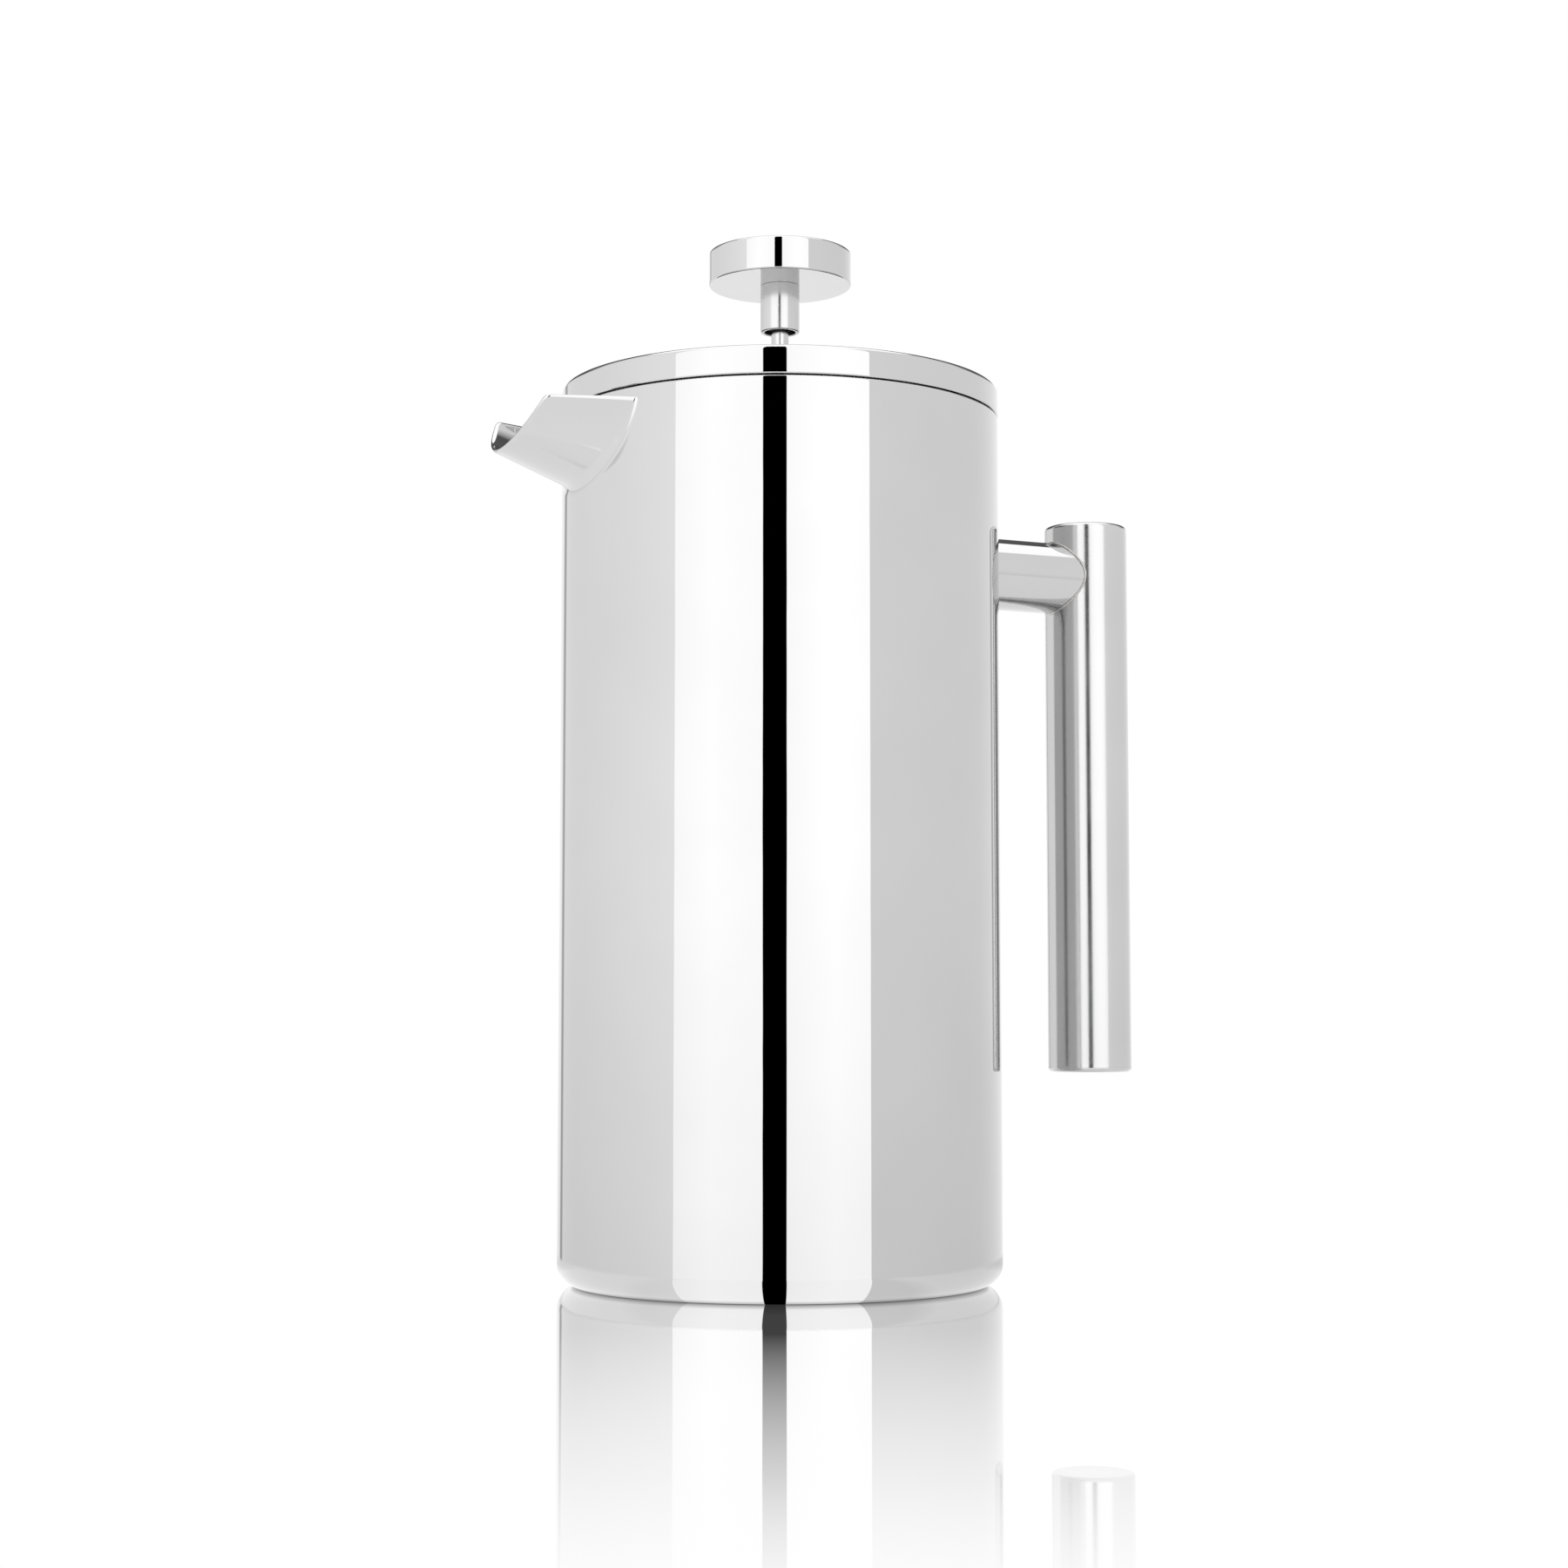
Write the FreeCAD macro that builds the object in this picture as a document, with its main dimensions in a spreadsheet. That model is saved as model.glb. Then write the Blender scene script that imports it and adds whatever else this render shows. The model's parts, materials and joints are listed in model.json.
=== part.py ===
import os
import re

import FreeCAD
import Part
import Sketcher
from FreeCAD import Placement, Rotation, Vector

# A one-litre double-wall press in stainless steel. +Z is up, the origin is the centre of
# the foot on the table, the handle is on +X and the spout on -X. Millimetres throughout.
SIZES = [
    # vessel
    ("body_radius", 50.0, "outside of the outer shell"),
    ("rim_height", 195.8, "top of the vessel"),
    ("foot_round", 5.0, "rounding of the shell's lower edge"),
    ("foot_inner_radius", 38.0, "inside of the flat foot ring"),
    ("shell_wall", 0.8, "sheet of the outer shell"),
    ("cap_rise", 1.4, "how far the base cap is dished up from its flange"),
    ("cap_flange_radius", 42.0, "outside of the base cap's flange"),
    ("liner_radius", 44.5, "inside of the liner, where the filter slides"),
    ("liner_wall", 0.6, "sheet of the liner"),
    ("liner_floor", 7.1, "top of the liner's floor"),
    ("liner_round", 3.4, "rounding inside the liner's floor"),
    ("rim_round", 1.4, "rounding of the liner's mouth"),
    # pour window, a circular segment cut through both walls
    ("window_half_width", 15.0, "half the window's width at its top"),
    ("window_top", 191.0, "height of its straight upper edge"),
    ("window_drop", 12.4, "how far its arc reaches below that edge"),
    ("throat_wall", 0.6, "sheet of the collar that lines it"),
    # spout, a trough between two circular segments
    ("spout_top", 193.4, "height of its two upper edges"),
    ("spout_sheet", 1.0, "its sheet"),
    ("spout_root_reach", 42.0, "distance of the inner section from the axis"),
    ("spout_root_half_width", 23.6, "half its width there"),
    ("spout_root_drop", 19.3, "its depth there"),
    ("spout_end_reach", 72.0, "distance of the outer section"),
    ("spout_end_half_width", 13.3, "half its width there"),
    ("spout_end_drop", 8.35, "its depth there"),
    ("mouth_reach", 63.3, "distance of the mouth's upper corners from the axis"),
    ("mouth_lean", 0.49, "how far the mouth leans out for each millimetre down"),
    # handle
    ("grip_reach", 81.3, "distance of the grip's axis from the vessel's"),
    ("grip_radius", 9.85, "outside of the grip tube"),
    ("grip_bottom", 46.8, "lower end of the handle"),
    ("grip_top", 177.4, "upper end of the handle"),
    ("tube_wall", 1.2, "wall of both handle tubes"),
    ("end_cap", 1.6, "thickness of an end cap outside the tube"),
    ("end_cap_round", 1.0, "rounding of an end cap"),
    ("spigot", 3.0, "length of an end cap's spigot inside the tube"),
    ("arm_radius", 8.43, "outside of the arm tube"),
    ("arm_height", 164.5, "height of the arm's axis"),
    ("bead", 0.6, "leg of the weld beads"),
    # lid
    ("lid_gap", 0.3, "gap between the vessel's rim and the lid"),
    ("lid_top", 202.5, "top of the lid"),
    ("lid_round", 1.0, "rounding of the lid's upper edge"),
    ("lid_sheet", 1.0, "sheet of the cover"),
    ("lid_liner_sheet", 0.8, "sheet of the underside plate"),
    ("skirt_radius", 44.1, "outside of the skirt that plugs the mouth"),
    ("skirt_bottom", 186.6, "lower edge of that skirt"),
    ("slot_width", 1.8, "width of a strainer slot"),
    ("slot_height", 5.0, "height of a strainer slot"),
    ("slot_sweep", 36.0, "degrees from the first slot to the last"),
    ("slot_count", 9, "number of strainer slots"),
    # guide in the middle of the lid
    ("running_fit", 0.05, "radial clearance of what turns or slides"),
    ("bush_radius", 4.2, "shank of the guide bush"),
    ("bush_flange_radius", 6.6, "flange of the guide bush"),
    ("bush_flange", 2.0, "thickness of that flange"),
    ("bush_top", 207.0, "top of the guide bush, the plunger's lower stop"),
    ("nut_height", 3.0, "height of the nut under the lid"),
    ("nut_radius", 6.2, "radius of the nut's corners"),
    # plunger and its filter
    ("rod_radius", 2.0, "plunger rod"),
    ("rod_bottom", 18.6, "lower end of the rod"),
    ("rod_top", 227.4, "upper end of the rod"),
    ("collar_radius", 4.6, "shoulder that pushes on the filter"),
    ("collar_height", 5.8, "height of that shoulder"),
    ("stack_bottom", 18.0, "lower face of the filter nut"),
    ("hub_height", 4.0, "height of the filter nut"),
    ("hub_radius", 5.6, "radius of the filter nut's corners"),
    ("plate_sheet", 0.8, "sheet of the two plates"),
    ("cross_radius", 40.0, "outside of the lower plate"),
    ("cross_rim", 2.6, "height of the lower plate's turned-down rim"),
    ("cross_hole_radius", 6.0, "round openings of the lower plate"),
    ("cross_hole_pitch", 25.0, "radius of their circle"),
    ("cross_hole_count", 8, "their number"),
    ("mesh_sheet", 0.3, "thickness of each woven screen"),
    ("backing_radius", 42.5, "outside of the coarse screen"),
    ("screen_radius", 44.15, "outside of the fine screen's upturned edge"),
    ("screen_edge", 2.4, "height of that edge"),
    ("spiral_radius", 39.0, "outside of the upper plate"),
    ("spiral_rim", 2.2, "height of the upper plate's rim"),
    ("spiral_hole_radius", 3.0, "round openings of the upper plate"),
    ("spiral_outer_pitch", 30.0, "radius of their outer circle"),
    ("spiral_outer_count", 16, "number on the outer circle"),
    ("spiral_inner_pitch", 17.0, "radius of their inner circle"),
    ("spiral_inner_count", 8, "number on the inner circle"),
    ("spring_radius", 41.4, "circle on which the edge spring lies"),
    ("coil_radius", 2.2, "outside of the edge spring's coil"),
    # knob
    ("neck_bottom", 217.0, "lower end of the neck at rest"),
    ("neck_radius", 4.5, "outside of the neck"),
    ("neck_bore", 3.6, "bore of the neck"),
    ("insert_bottom", 222.0, "lower face of the threaded insert"),
    ("knob_bottom", 227.9, "underside of the disc"),
    ("knob_top", 235.5, "top of the disc"),
    ("knob_radius", 16.4, "outside of the disc"),
    ("knob_round", 0.6, "rounding of the disc's edges"),
]
TOLERANCE = 1e-4
AXIS_OF_RADII = -2
AXIS_OF_HEIGHTS = -1
ROOT = (-1, 1)

doc = FreeCAD.newDocument("french_press")
sheet = doc.addObject("Spreadsheet::Sheet", "sizes")
for row, (alias, number, meaning) in enumerate(SIZES, 1):
    sheet.set(f"A{row}", alias)
    sheet.set(f"B{row}", str(number))
    sheet.set(f"C{row}", meaning)
    sheet.setAlias(f"B{row}", alias)
doc.recompute()


def formula(text):
    """The expression for a formula written with the sheet's aliases."""
    return re.sub(r"[a-z]+(?:_[a-z]+)*", lambda word: "sizes." + word.group(), text)


def value(text):
    """What such a formula comes to, in millimetres."""
    return float(sheet.evalExpression(formula(text)))


def bind(item, **formulas):
    """Binds properties of an item to formulas; a double underscore stands for a dot."""
    for name, text in formulas.items():
        item.setExpression(name.replace("__", "."), formula(text))
    return item


# ---- sketches ----

def new_body(label):
    body = doc.addObject("PartDesign::Body", label)
    body.Label = label
    return body


def new_sketch(body, plane):
    """A sketch on one of the body's origin planes."""
    sketch = body.newObject("Sketcher::SketchObject", f"{body.Name}_sketch")
    support = [item for item in body.Origin.OriginFeatures if item.Role == plane]
    sketch.AttachmentSupport = (support[0], "")
    sketch.MapMode = "FlatFace"
    return sketch


def fix_point(sketch, geometry, position, across, up):
    """Holds one end of a line or arc at (across, up), both given as formulas."""
    for kind, axis, text in (("DistanceX", AXIS_OF_RADII, across), ("DistanceY", AXIS_OF_HEIGHTS, up)):
        number = value(text)
        if abs(number) < TOLERANCE:
            sketch.addConstraint(Sketcher.Constraint("PointOnObject", geometry, position, axis))
            continue
        index = sketch.addConstraint(Sketcher.Constraint(kind, *ROOT, geometry, position, number))
        sketch.setExpression(f"Constraints[{index}]", formula(text))


def draw_polygon(sketch, corners):
    """A closed outline through corners, each a pair of formulas."""
    first = sketch.GeometryCount
    points = [Vector(value(across), value(up), 0) for across, up in corners]
    for start, end in zip(points, points[1:] + points[:1]):
        sketch.addGeometry(Part.LineSegment(start, end))
    for index, (across, up) in enumerate(corners):
        previous = first + (index - 1) % len(corners)
        sketch.addConstraint(Sketcher.Constraint("Coincident", previous, 2, first + index, 1))
        fix_point(sketch, first + index, 1, across, up)


def draw_circle(sketch, radius, across="0", up="0"):
    centre = Vector(value(across), value(up), 0)
    index = sketch.addGeometry(Part.Circle(centre, Vector(0, 0, 1), value(radius)))
    fix_point(sketch, index, 3, across, up)
    constraint = sketch.addConstraint(Sketcher.Constraint("Radius", index, value(radius)))
    sketch.setExpression(f"Constraints[{constraint}]", formula(radius))


def draw_segment(sketch, half_width, top, drop, offset="0"):
    """The part of a circle below a level line. The circle has half_width at height top and
    reaches drop below it, and the outline is moved in by offset, all but its upper line."""
    size = f"(({half_width})^2 + ({drop})^2) / (2 * ({drop}))"
    radius = f"{size} - ({offset})"
    centre_up = f"({top}) - ({drop}) + {size}"
    centre = Vector(0, value(centre_up), 0)
    line_up = value(top) + 2 * value(offset)
    reach = (value(radius) ** 2 - (centre.y - line_up) ** 2) ** 0.5
    left = Vector(-reach, line_up, 0)
    right = Vector(reach, line_up, 0)
    bottom = Vector(0, centre.y - value(radius), 0)
    arc = sketch.addGeometry(Part.Arc(left, bottom, right))
    line = sketch.addGeometry(Part.LineSegment(right, left))
    sketch.addConstraint(Sketcher.Constraint("Coincident", arc, 2, line, 1))
    sketch.addConstraint(Sketcher.Constraint("Coincident", line, 2, arc, 1))
    sketch.addConstraint(Sketcher.Constraint("Horizontal", line))
    fix_point(sketch, arc, 3, "0", centre_up)
    fix_level = Sketcher.Constraint("DistanceY", *ROOT, line, 1, line_up)
    index = sketch.addConstraint(fix_level)
    sketch.setExpression(f"Constraints[{index}]", formula(f"({top}) + 2 * ({offset})"))
    index = sketch.addConstraint(Sketcher.Constraint("Radius", arc, value(radius)))
    sketch.setExpression(f"Constraints[{index}]", formula(radius))


# ---- features ----

def turned(label, corners):
    """A piece turned about the Z axis from a closed outline of (radius, height) corners."""
    body = new_body(label)
    sketch = new_sketch(body, "XZ_Plane")
    draw_polygon(sketch, corners)
    turn = body.newObject("PartDesign::Revolution", f"{label}_turn")
    turn.Profile = sketch
    turn.ReferenceAxis = (sketch, ["V_Axis"])
    turn.Angle = 360
    doc.recompute()
    return body


def rounded(body, rounding, *circles):
    """Rounds the circular edges of a turned piece that lie at (radius, height)."""
    names = []
    for radius, height in circles:
        for number, edge in enumerate(body.Shape.Edges, 1):
            curve = edge.Curve
            if not isinstance(curve, Part.Circle):
                continue
            if abs(curve.Radius - value(radius)) > TOLERANCE:
                continue
            if abs(edge.BoundBox.ZMin - value(height)) < TOLERANCE:
                names.append(f"Edge{number}")
    base = body.Tip
    fillet = body.newObject("PartDesign::Fillet", f"{body.Name}_round")
    fillet.Base = (base, names)
    bind(fillet, Radius=rounding)
    doc.recompute()


def cut_through(body, sketch, both_ways=False):
    """Cuts a sketch's outline through the body, and makes sure that it removes something."""
    before = body.Shape.Volume
    pocket = body.newObject("PartDesign::Pocket", f"{body.Name}_cut")
    pocket.Profile = sketch
    pocket.Type = "ThroughAll"
    if both_ways:
        pocket.SideType = "Symmetric"
    doc.recompute()
    if body.Shape.Volume >= before - TOLERANCE:
        raise ValueError(f"{pocket.Name} removes nothing")
    return pocket


def repeated(body, feature, count, sweep="360"):
    """Repeats a feature around the Z axis, over a sweep in degrees."""
    pattern = body.newObject("PartDesign::PolarPattern", f"{body.Name}_pattern")
    pattern.Originals = [feature]
    axis = [item for item in body.Origin.OriginFeatures if item.Role == "Z_Axis"]
    pattern.Axis = (axis[0], [""])
    bind(pattern, Angle=sweep, Occurrences=count)
    body.Tip = pattern
    doc.recompute()


def holes(body, radius, pitch, count):
    """A circle of round holes through a flat plate."""
    sketch = new_sketch(body, "XY_Plane")
    draw_circle(sketch, radius, pitch)
    repeated(body, cut_through(body, sketch, both_ways=True), count)


# ---- vessel ----

def outer_shell():
    """The outer wall, with its foot turned in and its pour window."""
    shell = turned("outer_shell", [
        ("foot_inner_radius", "0"),
        ("body_radius", "0"),
        ("body_radius", "rim_height"),
        ("body_radius - shell_wall", "rim_height"),
        ("body_radius - shell_wall", "shell_wall"),
        ("foot_inner_radius", "shell_wall"),
    ])
    rounded(shell, "foot_round", ("body_radius", "0"))
    rounded(shell, "foot_round - shell_wall", ("body_radius - shell_wall", "shell_wall"))
    window(shell)
    return shell


def window(body):
    """The pour window, on the spout's side only."""
    sketch = new_sketch(body, "YZ_Plane")
    draw_segment(sketch, "window_half_width", "window_top", "window_drop")
    cut_through(body, sketch)


def base_cap():
    """The dished disc welded inside the foot ring."""
    flange = "shell_wall"
    dish = "shell_wall + cap_rise"
    return turned("base_cap", [
        ("0", dish),
        ("foot_inner_radius - 2 * cap_rise", dish),
        ("foot_inner_radius - cap_rise", flange),
        ("cap_flange_radius", flange),
        ("cap_flange_radius", f"{flange} + shell_wall"),
        ("foot_inner_radius - cap_rise + shell_wall / 2", f"{flange} + shell_wall"),
        ("foot_inner_radius - 2 * cap_rise + shell_wall / 2", f"{dish} + shell_wall"),
        ("0", f"{dish} + shell_wall"),
    ])


def inner_liner():
    """The inner wall and floor, whose rim is turned out to the shell."""
    liner = turned("inner_liner", [
        ("0", "liner_floor - liner_wall"),
        ("liner_radius + liner_wall", "liner_floor - liner_wall"),
        ("liner_radius + liner_wall", "rim_height - liner_wall"),
        ("body_radius - shell_wall", "rim_height - liner_wall"),
        ("body_radius - shell_wall", "rim_height"),
        ("liner_radius", "rim_height"),
        ("liner_radius", "liner_floor"),
        ("0", "liner_floor"),
    ])
    rounded(
        liner, "liner_round + liner_wall",
        ("liner_radius + liner_wall", "liner_floor - liner_wall"),
    )
    rounded(liner, "liner_round", ("liner_radius", "liner_floor"))
    rounded(liner, "rim_round", ("liner_radius", "rim_height"))
    rounded(
        liner, "rim_round - liner_wall",
        ("liner_radius + liner_wall", "rim_height - liner_wall"),
    )
    window(liner)
    return liner


def spout_throat():
    """The collar that lines the pour window from the liner to the shell."""
    throat = new_body("spout_throat")
    frame = new_sketch(throat, "YZ_Plane")
    draw_segment(frame, "window_half_width", "window_top", "window_drop")
    pad = throat.newObject("PartDesign::Pad", "spout_throat_pad")
    pad.Profile = frame
    pad.Reversed = True
    bind(pad, Length="spout_end_reach")
    doc.recompute()
    opening = new_sketch(throat, "YZ_Plane")
    draw_segment(
        opening,
        "window_half_width - throat_wall", "window_top - throat_wall",
        "window_drop - 2 * throat_wall",
    )
    cut_through(throat, opening)
    inside = new_sketch(throat, "XY_Plane")
    draw_circle(inside, "liner_radius")
    cut_through(throat, inside, both_ways=True)
    outside = new_sketch(throat, "XY_Plane")
    draw_circle(outside, "2 * body_radius")
    draw_circle(outside, "body_radius")
    cut_through(throat, outside, both_ways=True)
    return throat


def spout():
    """The trough: a hull between two segments, hollowed, trimmed to the shell and the mouth."""
    trough = new_body("spout")
    sections = ("root", "end")
    for kind, offset in (("AdditiveLoft", "0"), ("SubtractiveLoft", "spout_sheet")):
        outlines = []
        for section in sections:
            outline = new_sketch(trough, "YZ_Plane")
            bind(outline, AttachmentOffset__Base__z=f"-spout_{section}_reach")
            draw_segment(
                outline, f"spout_{section}_half_width", "spout_top", f"spout_{section}_drop", offset
            )
            outlines.append(outline)
        loft = trough.newObject(f"PartDesign::{kind}", f"spout_{kind.lower()}")
        loft.Profile = outlines[0]
        loft.Sections = outlines[1:]
        doc.recompute()
    vessel = new_sketch(trough, "XY_Plane")
    draw_circle(vessel, "body_radius")
    cut_through(trough, vessel, both_ways=True)
    beyond_mouth = new_sketch(trough, "XZ_Plane")
    above = "spout_top + spout_sheet"
    below = "spout_top - 2 * spout_root_drop"
    draw_polygon(beyond_mouth, [
        ("-(mouth_reach - mouth_lean * spout_sheet)", above),
        ("-(mouth_reach + 2 * mouth_lean * spout_root_drop)", below),
        ("-2 * mouth_reach", below),
        ("-2 * mouth_reach", above),
    ])
    cut_through(trough, beyond_mouth, both_ways=True)
    return trough


# ---- handle ----

def handle_grip():
    grip = turned("handle_grip", [
        ("grip_radius - tube_wall", "grip_bottom + end_cap"),
        ("grip_radius", "grip_bottom + end_cap"),
        ("grip_radius", "grip_top - end_cap"),
        ("grip_radius - tube_wall", "grip_top - end_cap"),
    ])
    return bind(grip, Placement__Base__x="grip_reach")


def handle_cap(label, outer, up):
    """A disc on the grip's end with a spigot inside the tube; up is 1 or -1."""
    inner = f"{outer} - {up} * end_cap"
    tip = f"{outer} - {up} * (end_cap + spigot)"
    cap = turned(label, [
        ("0", outer),
        ("grip_radius", outer),
        ("grip_radius", inner),
        ("grip_radius - tube_wall", inner),
        ("grip_radius - tube_wall", tip),
        ("0", tip),
    ])
    rounded(cap, "end_cap_round", ("grip_radius", outer))
    return bind(cap, Placement__Base__x="grip_reach")


def handle_arm():
    """The horizontal tube, coped to the shell at one end and to the grip at the other."""
    arm = new_body("handle_arm")
    section = new_sketch(arm, "YZ_Plane")
    draw_circle(section, "arm_radius", "0", "arm_height")
    draw_circle(section, "arm_radius - tube_wall", "0", "arm_height")
    pad = arm.newObject("PartDesign::Pad", "handle_arm_pad")
    pad.Profile = section
    bind(pad, Length="grip_reach")
    doc.recompute()
    copes = new_sketch(arm, "XY_Plane")
    draw_circle(copes, "body_radius")
    draw_circle(copes, "grip_radius", "grip_reach")
    cut_through(arm, copes, both_ways=True)
    return arm


def upright(name, radius, reach="0"):
    """A long cylinder along Z, used to cut or trim."""
    item = doc.addObject("Part::Cylinder", name)
    return bind(item, Radius=radius, Height="rim_height", Placement__Base__x=reach)


def level(name, radius):
    """A long cylinder along the arm's axis, used to cut or trim."""
    item = doc.addObject("Part::Cylinder", name)
    item.Placement = Placement(Vector(), Rotation(Vector(0, 1, 0), 90))
    return bind(item, Radius=radius, Height="grip_reach", Placement__Base__z="arm_height")


def combine(kind, name, base, tool):
    item = doc.addObject(f"Part::{kind}", name)
    item.Base = base
    item.Tool = tool
    return item


def weld(label, radius, reach):
    """The bead in the corner between the arm and an upright tube of that radius."""
    sleeve = combine(
        "Cut", f"{label}_sleeve",
        level(f"{label}_outside", "arm_radius + bead"), level(f"{label}_arm", "arm_radius"),
    )
    jacket = combine(
        "Cut", f"{label}_jacket",
        upright(f"{label}_around", f"{radius} + bead", reach), upright(f"{label}_tube", radius, reach),
    )
    return combine("Common", label, sleeve, jacket)


# ---- lid ----

def lid_cover():
    """The top and the skirt, flush with the shell."""
    bore = "bush_radius + running_fit"
    bottom = "rim_height + lid_gap"
    cover = turned("lid_cover", [
        (bore, "lid_top"),
        ("body_radius", "lid_top"),
        ("body_radius", bottom),
        ("body_radius - lid_sheet", bottom),
        ("body_radius - lid_sheet", "lid_top - lid_sheet"),
        (bore, "lid_top - lid_sheet"),
    ])
    rounded(cover, "lid_round", ("body_radius", "lid_top"))
    return cover


def lid_liner():
    """The underside plate with the skirt that plugs the mouth, slotted towards the spout."""
    bore = "bush_radius + running_fit"
    bottom = "rim_height + lid_gap"
    top = f"{bottom} + lid_liner_sheet"
    liner = turned("lid_liner", [
        (bore, bottom),
        ("skirt_radius - lid_liner_sheet", bottom),
        ("skirt_radius - lid_liner_sheet", "skirt_bottom"),
        ("skirt_radius", "skirt_bottom"),
        ("skirt_radius", bottom),
        ("body_radius - lid_sheet", bottom),
        ("body_radius - lid_sheet", top),
        (bore, top),
    ])
    slot = new_sketch(liner, "YZ_Plane")
    slot.AttachmentOffset = Placement(Vector(), Rotation(Vector(0, 1, 0), value("slot_sweep / 2")))
    bind(slot, AttachmentOffset__Rotation__Angle="-slot_sweep / 2")
    low = "skirt_bottom + slot_width"
    high = f"{low} + slot_height"
    draw_polygon(slot, [
        ("-slot_width / 2", low),
        ("slot_width / 2", low),
        ("slot_width / 2", high),
        ("-slot_width / 2", high),
    ])
    repeated(liner, cut_through(liner, slot), "slot_count", "slot_sweep")
    return liner


def guide_bush():
    """The flanged bush that guides the rod through the lid."""
    seat = "lid_top + 2 * running_fit"
    bore = "rod_radius + running_fit"
    bottom = "rim_height - nut_height"
    bush = turned("guide_bush", [
        (bore, bottom),
        ("bush_radius", bottom),
        ("bush_radius", seat),
        ("bush_flange_radius", seat),
        ("bush_flange_radius", f"{seat} + bush_flange"),
        ("neck_radius", f"{seat} + bush_flange"),
        ("neck_radius", "bush_top"),
        (bore, "bush_top"),
    ])
    rounded(bush, "knob_round", ("bush_flange_radius", f"{seat} + bush_flange"))
    return bush


def hex_nut(label, corner_radius, bore, bottom, height):
    prism = doc.addObject("Part::Prism", f"{label}_prism")
    prism.Polygon = 6
    bind(prism, Circumradius=corner_radius, Height=height, Placement__Base__z=bottom)
    drill = doc.addObject("Part::Cylinder", f"{label}_drill")
    bind(drill, Radius=bore, Height=height, Placement__Base__z=bottom)
    return combine("Cut", label, prism, drill)


# ---- plunger ----

def plunger_rod():
    rod = turned("plunger_rod", [
        ("0", "rod_bottom"),
        ("rod_radius", "rod_bottom"),
        ("rod_radius", "rod_top"),
        ("0", "rod_top"),
    ])
    rounded(rod, "rod_radius / 4", ("rod_radius", "rod_bottom"), ("rod_radius", "rod_top"))
    return rod


CROSS_BOTTOM = "stack_bottom + hub_height"
BACKING_BOTTOM = f"{CROSS_BOTTOM} + plate_sheet"
SCREEN_BOTTOM = f"{BACKING_BOTTOM} + mesh_sheet"
SPIRAL_BOTTOM = f"{SCREEN_BOTTOM} + mesh_sheet"
STACK_TOP = f"{SPIRAL_BOTTOM} + plate_sheet"
FILTER_BORE = "rod_radius + running_fit"


def rod_collar():
    """The shoulder fixed on the rod, just above the filter."""
    bottom = f"{STACK_TOP} + running_fit"
    top = f"{bottom} + collar_height"
    collar = turned("rod_collar", [
        ("rod_radius", bottom),
        ("collar_radius", bottom),
        ("collar_radius", top),
        ("rod_radius", top),
    ])
    rounded(collar, "knob_round", ("collar_radius", top))
    return collar


def cross_plate():
    plate = turned("cross_plate", [
        (FILTER_BORE, CROSS_BOTTOM),
        ("cross_radius - plate_sheet", CROSS_BOTTOM),
        ("cross_radius - plate_sheet", f"{BACKING_BOTTOM} - cross_rim"),
        ("cross_radius", f"{BACKING_BOTTOM} - cross_rim"),
        ("cross_radius", BACKING_BOTTOM),
        (FILTER_BORE, BACKING_BOTTOM),
    ])
    rounded(plate, "plate_sheet", ("cross_radius", BACKING_BOTTOM))
    holes(plate, "cross_hole_radius", "cross_hole_pitch", "cross_hole_count")
    return plate


def backing_screen():
    return turned("backing_screen", [
        (FILTER_BORE, BACKING_BOTTOM),
        ("backing_radius", BACKING_BOTTOM),
        ("backing_radius", SCREEN_BOTTOM),
        (FILTER_BORE, SCREEN_BOTTOM),
    ])


def filter_screen():
    """The fine screen, whose edge is turned up around the spring."""
    edge_top = f"{SCREEN_BOTTOM} + screen_edge"
    return turned("filter_screen", [
        (FILTER_BORE, SCREEN_BOTTOM),
        ("screen_radius", SCREEN_BOTTOM),
        ("screen_radius", edge_top),
        ("screen_radius - mesh_sheet", edge_top),
        ("screen_radius - mesh_sheet", SPIRAL_BOTTOM),
        (FILTER_BORE, SPIRAL_BOTTOM),
    ])


def spiral_plate():
    rim_top = f"{SPIRAL_BOTTOM} + spiral_rim"
    plate = turned("spiral_plate", [
        (FILTER_BORE, SPIRAL_BOTTOM),
        ("spiral_radius", SPIRAL_BOTTOM),
        ("spiral_radius", rim_top),
        ("spiral_radius - plate_sheet", rim_top),
        ("spiral_radius - plate_sheet", STACK_TOP),
        (FILTER_BORE, STACK_TOP),
    ])
    rounded(plate, "plate_sheet", ("spiral_radius", SPIRAL_BOTTOM))
    holes(plate, "spiral_hole_radius", "spiral_outer_pitch", "spiral_outer_count")
    holes(plate, "spiral_hole_radius", "spiral_inner_pitch", "spiral_inner_count")
    return plate


def edge_spring():
    """The outer shape of the coil that presses the screen's edge to the liner."""
    ring = doc.addObject("Part::Torus", "edge_spring")
    height = f"{SPIRAL_BOTTOM} + coil_radius"
    return bind(ring, Radius1="spring_radius", Radius2="coil_radius", Placement__Base__z=height)


# ---- knob ----

def knob_disc():
    disc = turned("knob_disc", [
        ("0", "knob_bottom"),
        ("knob_radius", "knob_bottom"),
        ("knob_radius", "knob_top"),
        ("0", "knob_top"),
    ])
    rounded(disc, "knob_round", ("knob_radius", "knob_bottom"), ("knob_radius", "knob_top"))
    return disc


def sleeve(label, outer, bore, bottom, top):
    return turned(label, [(bore, bottom), (outer, bottom), (outer, top), (bore, top)])


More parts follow.
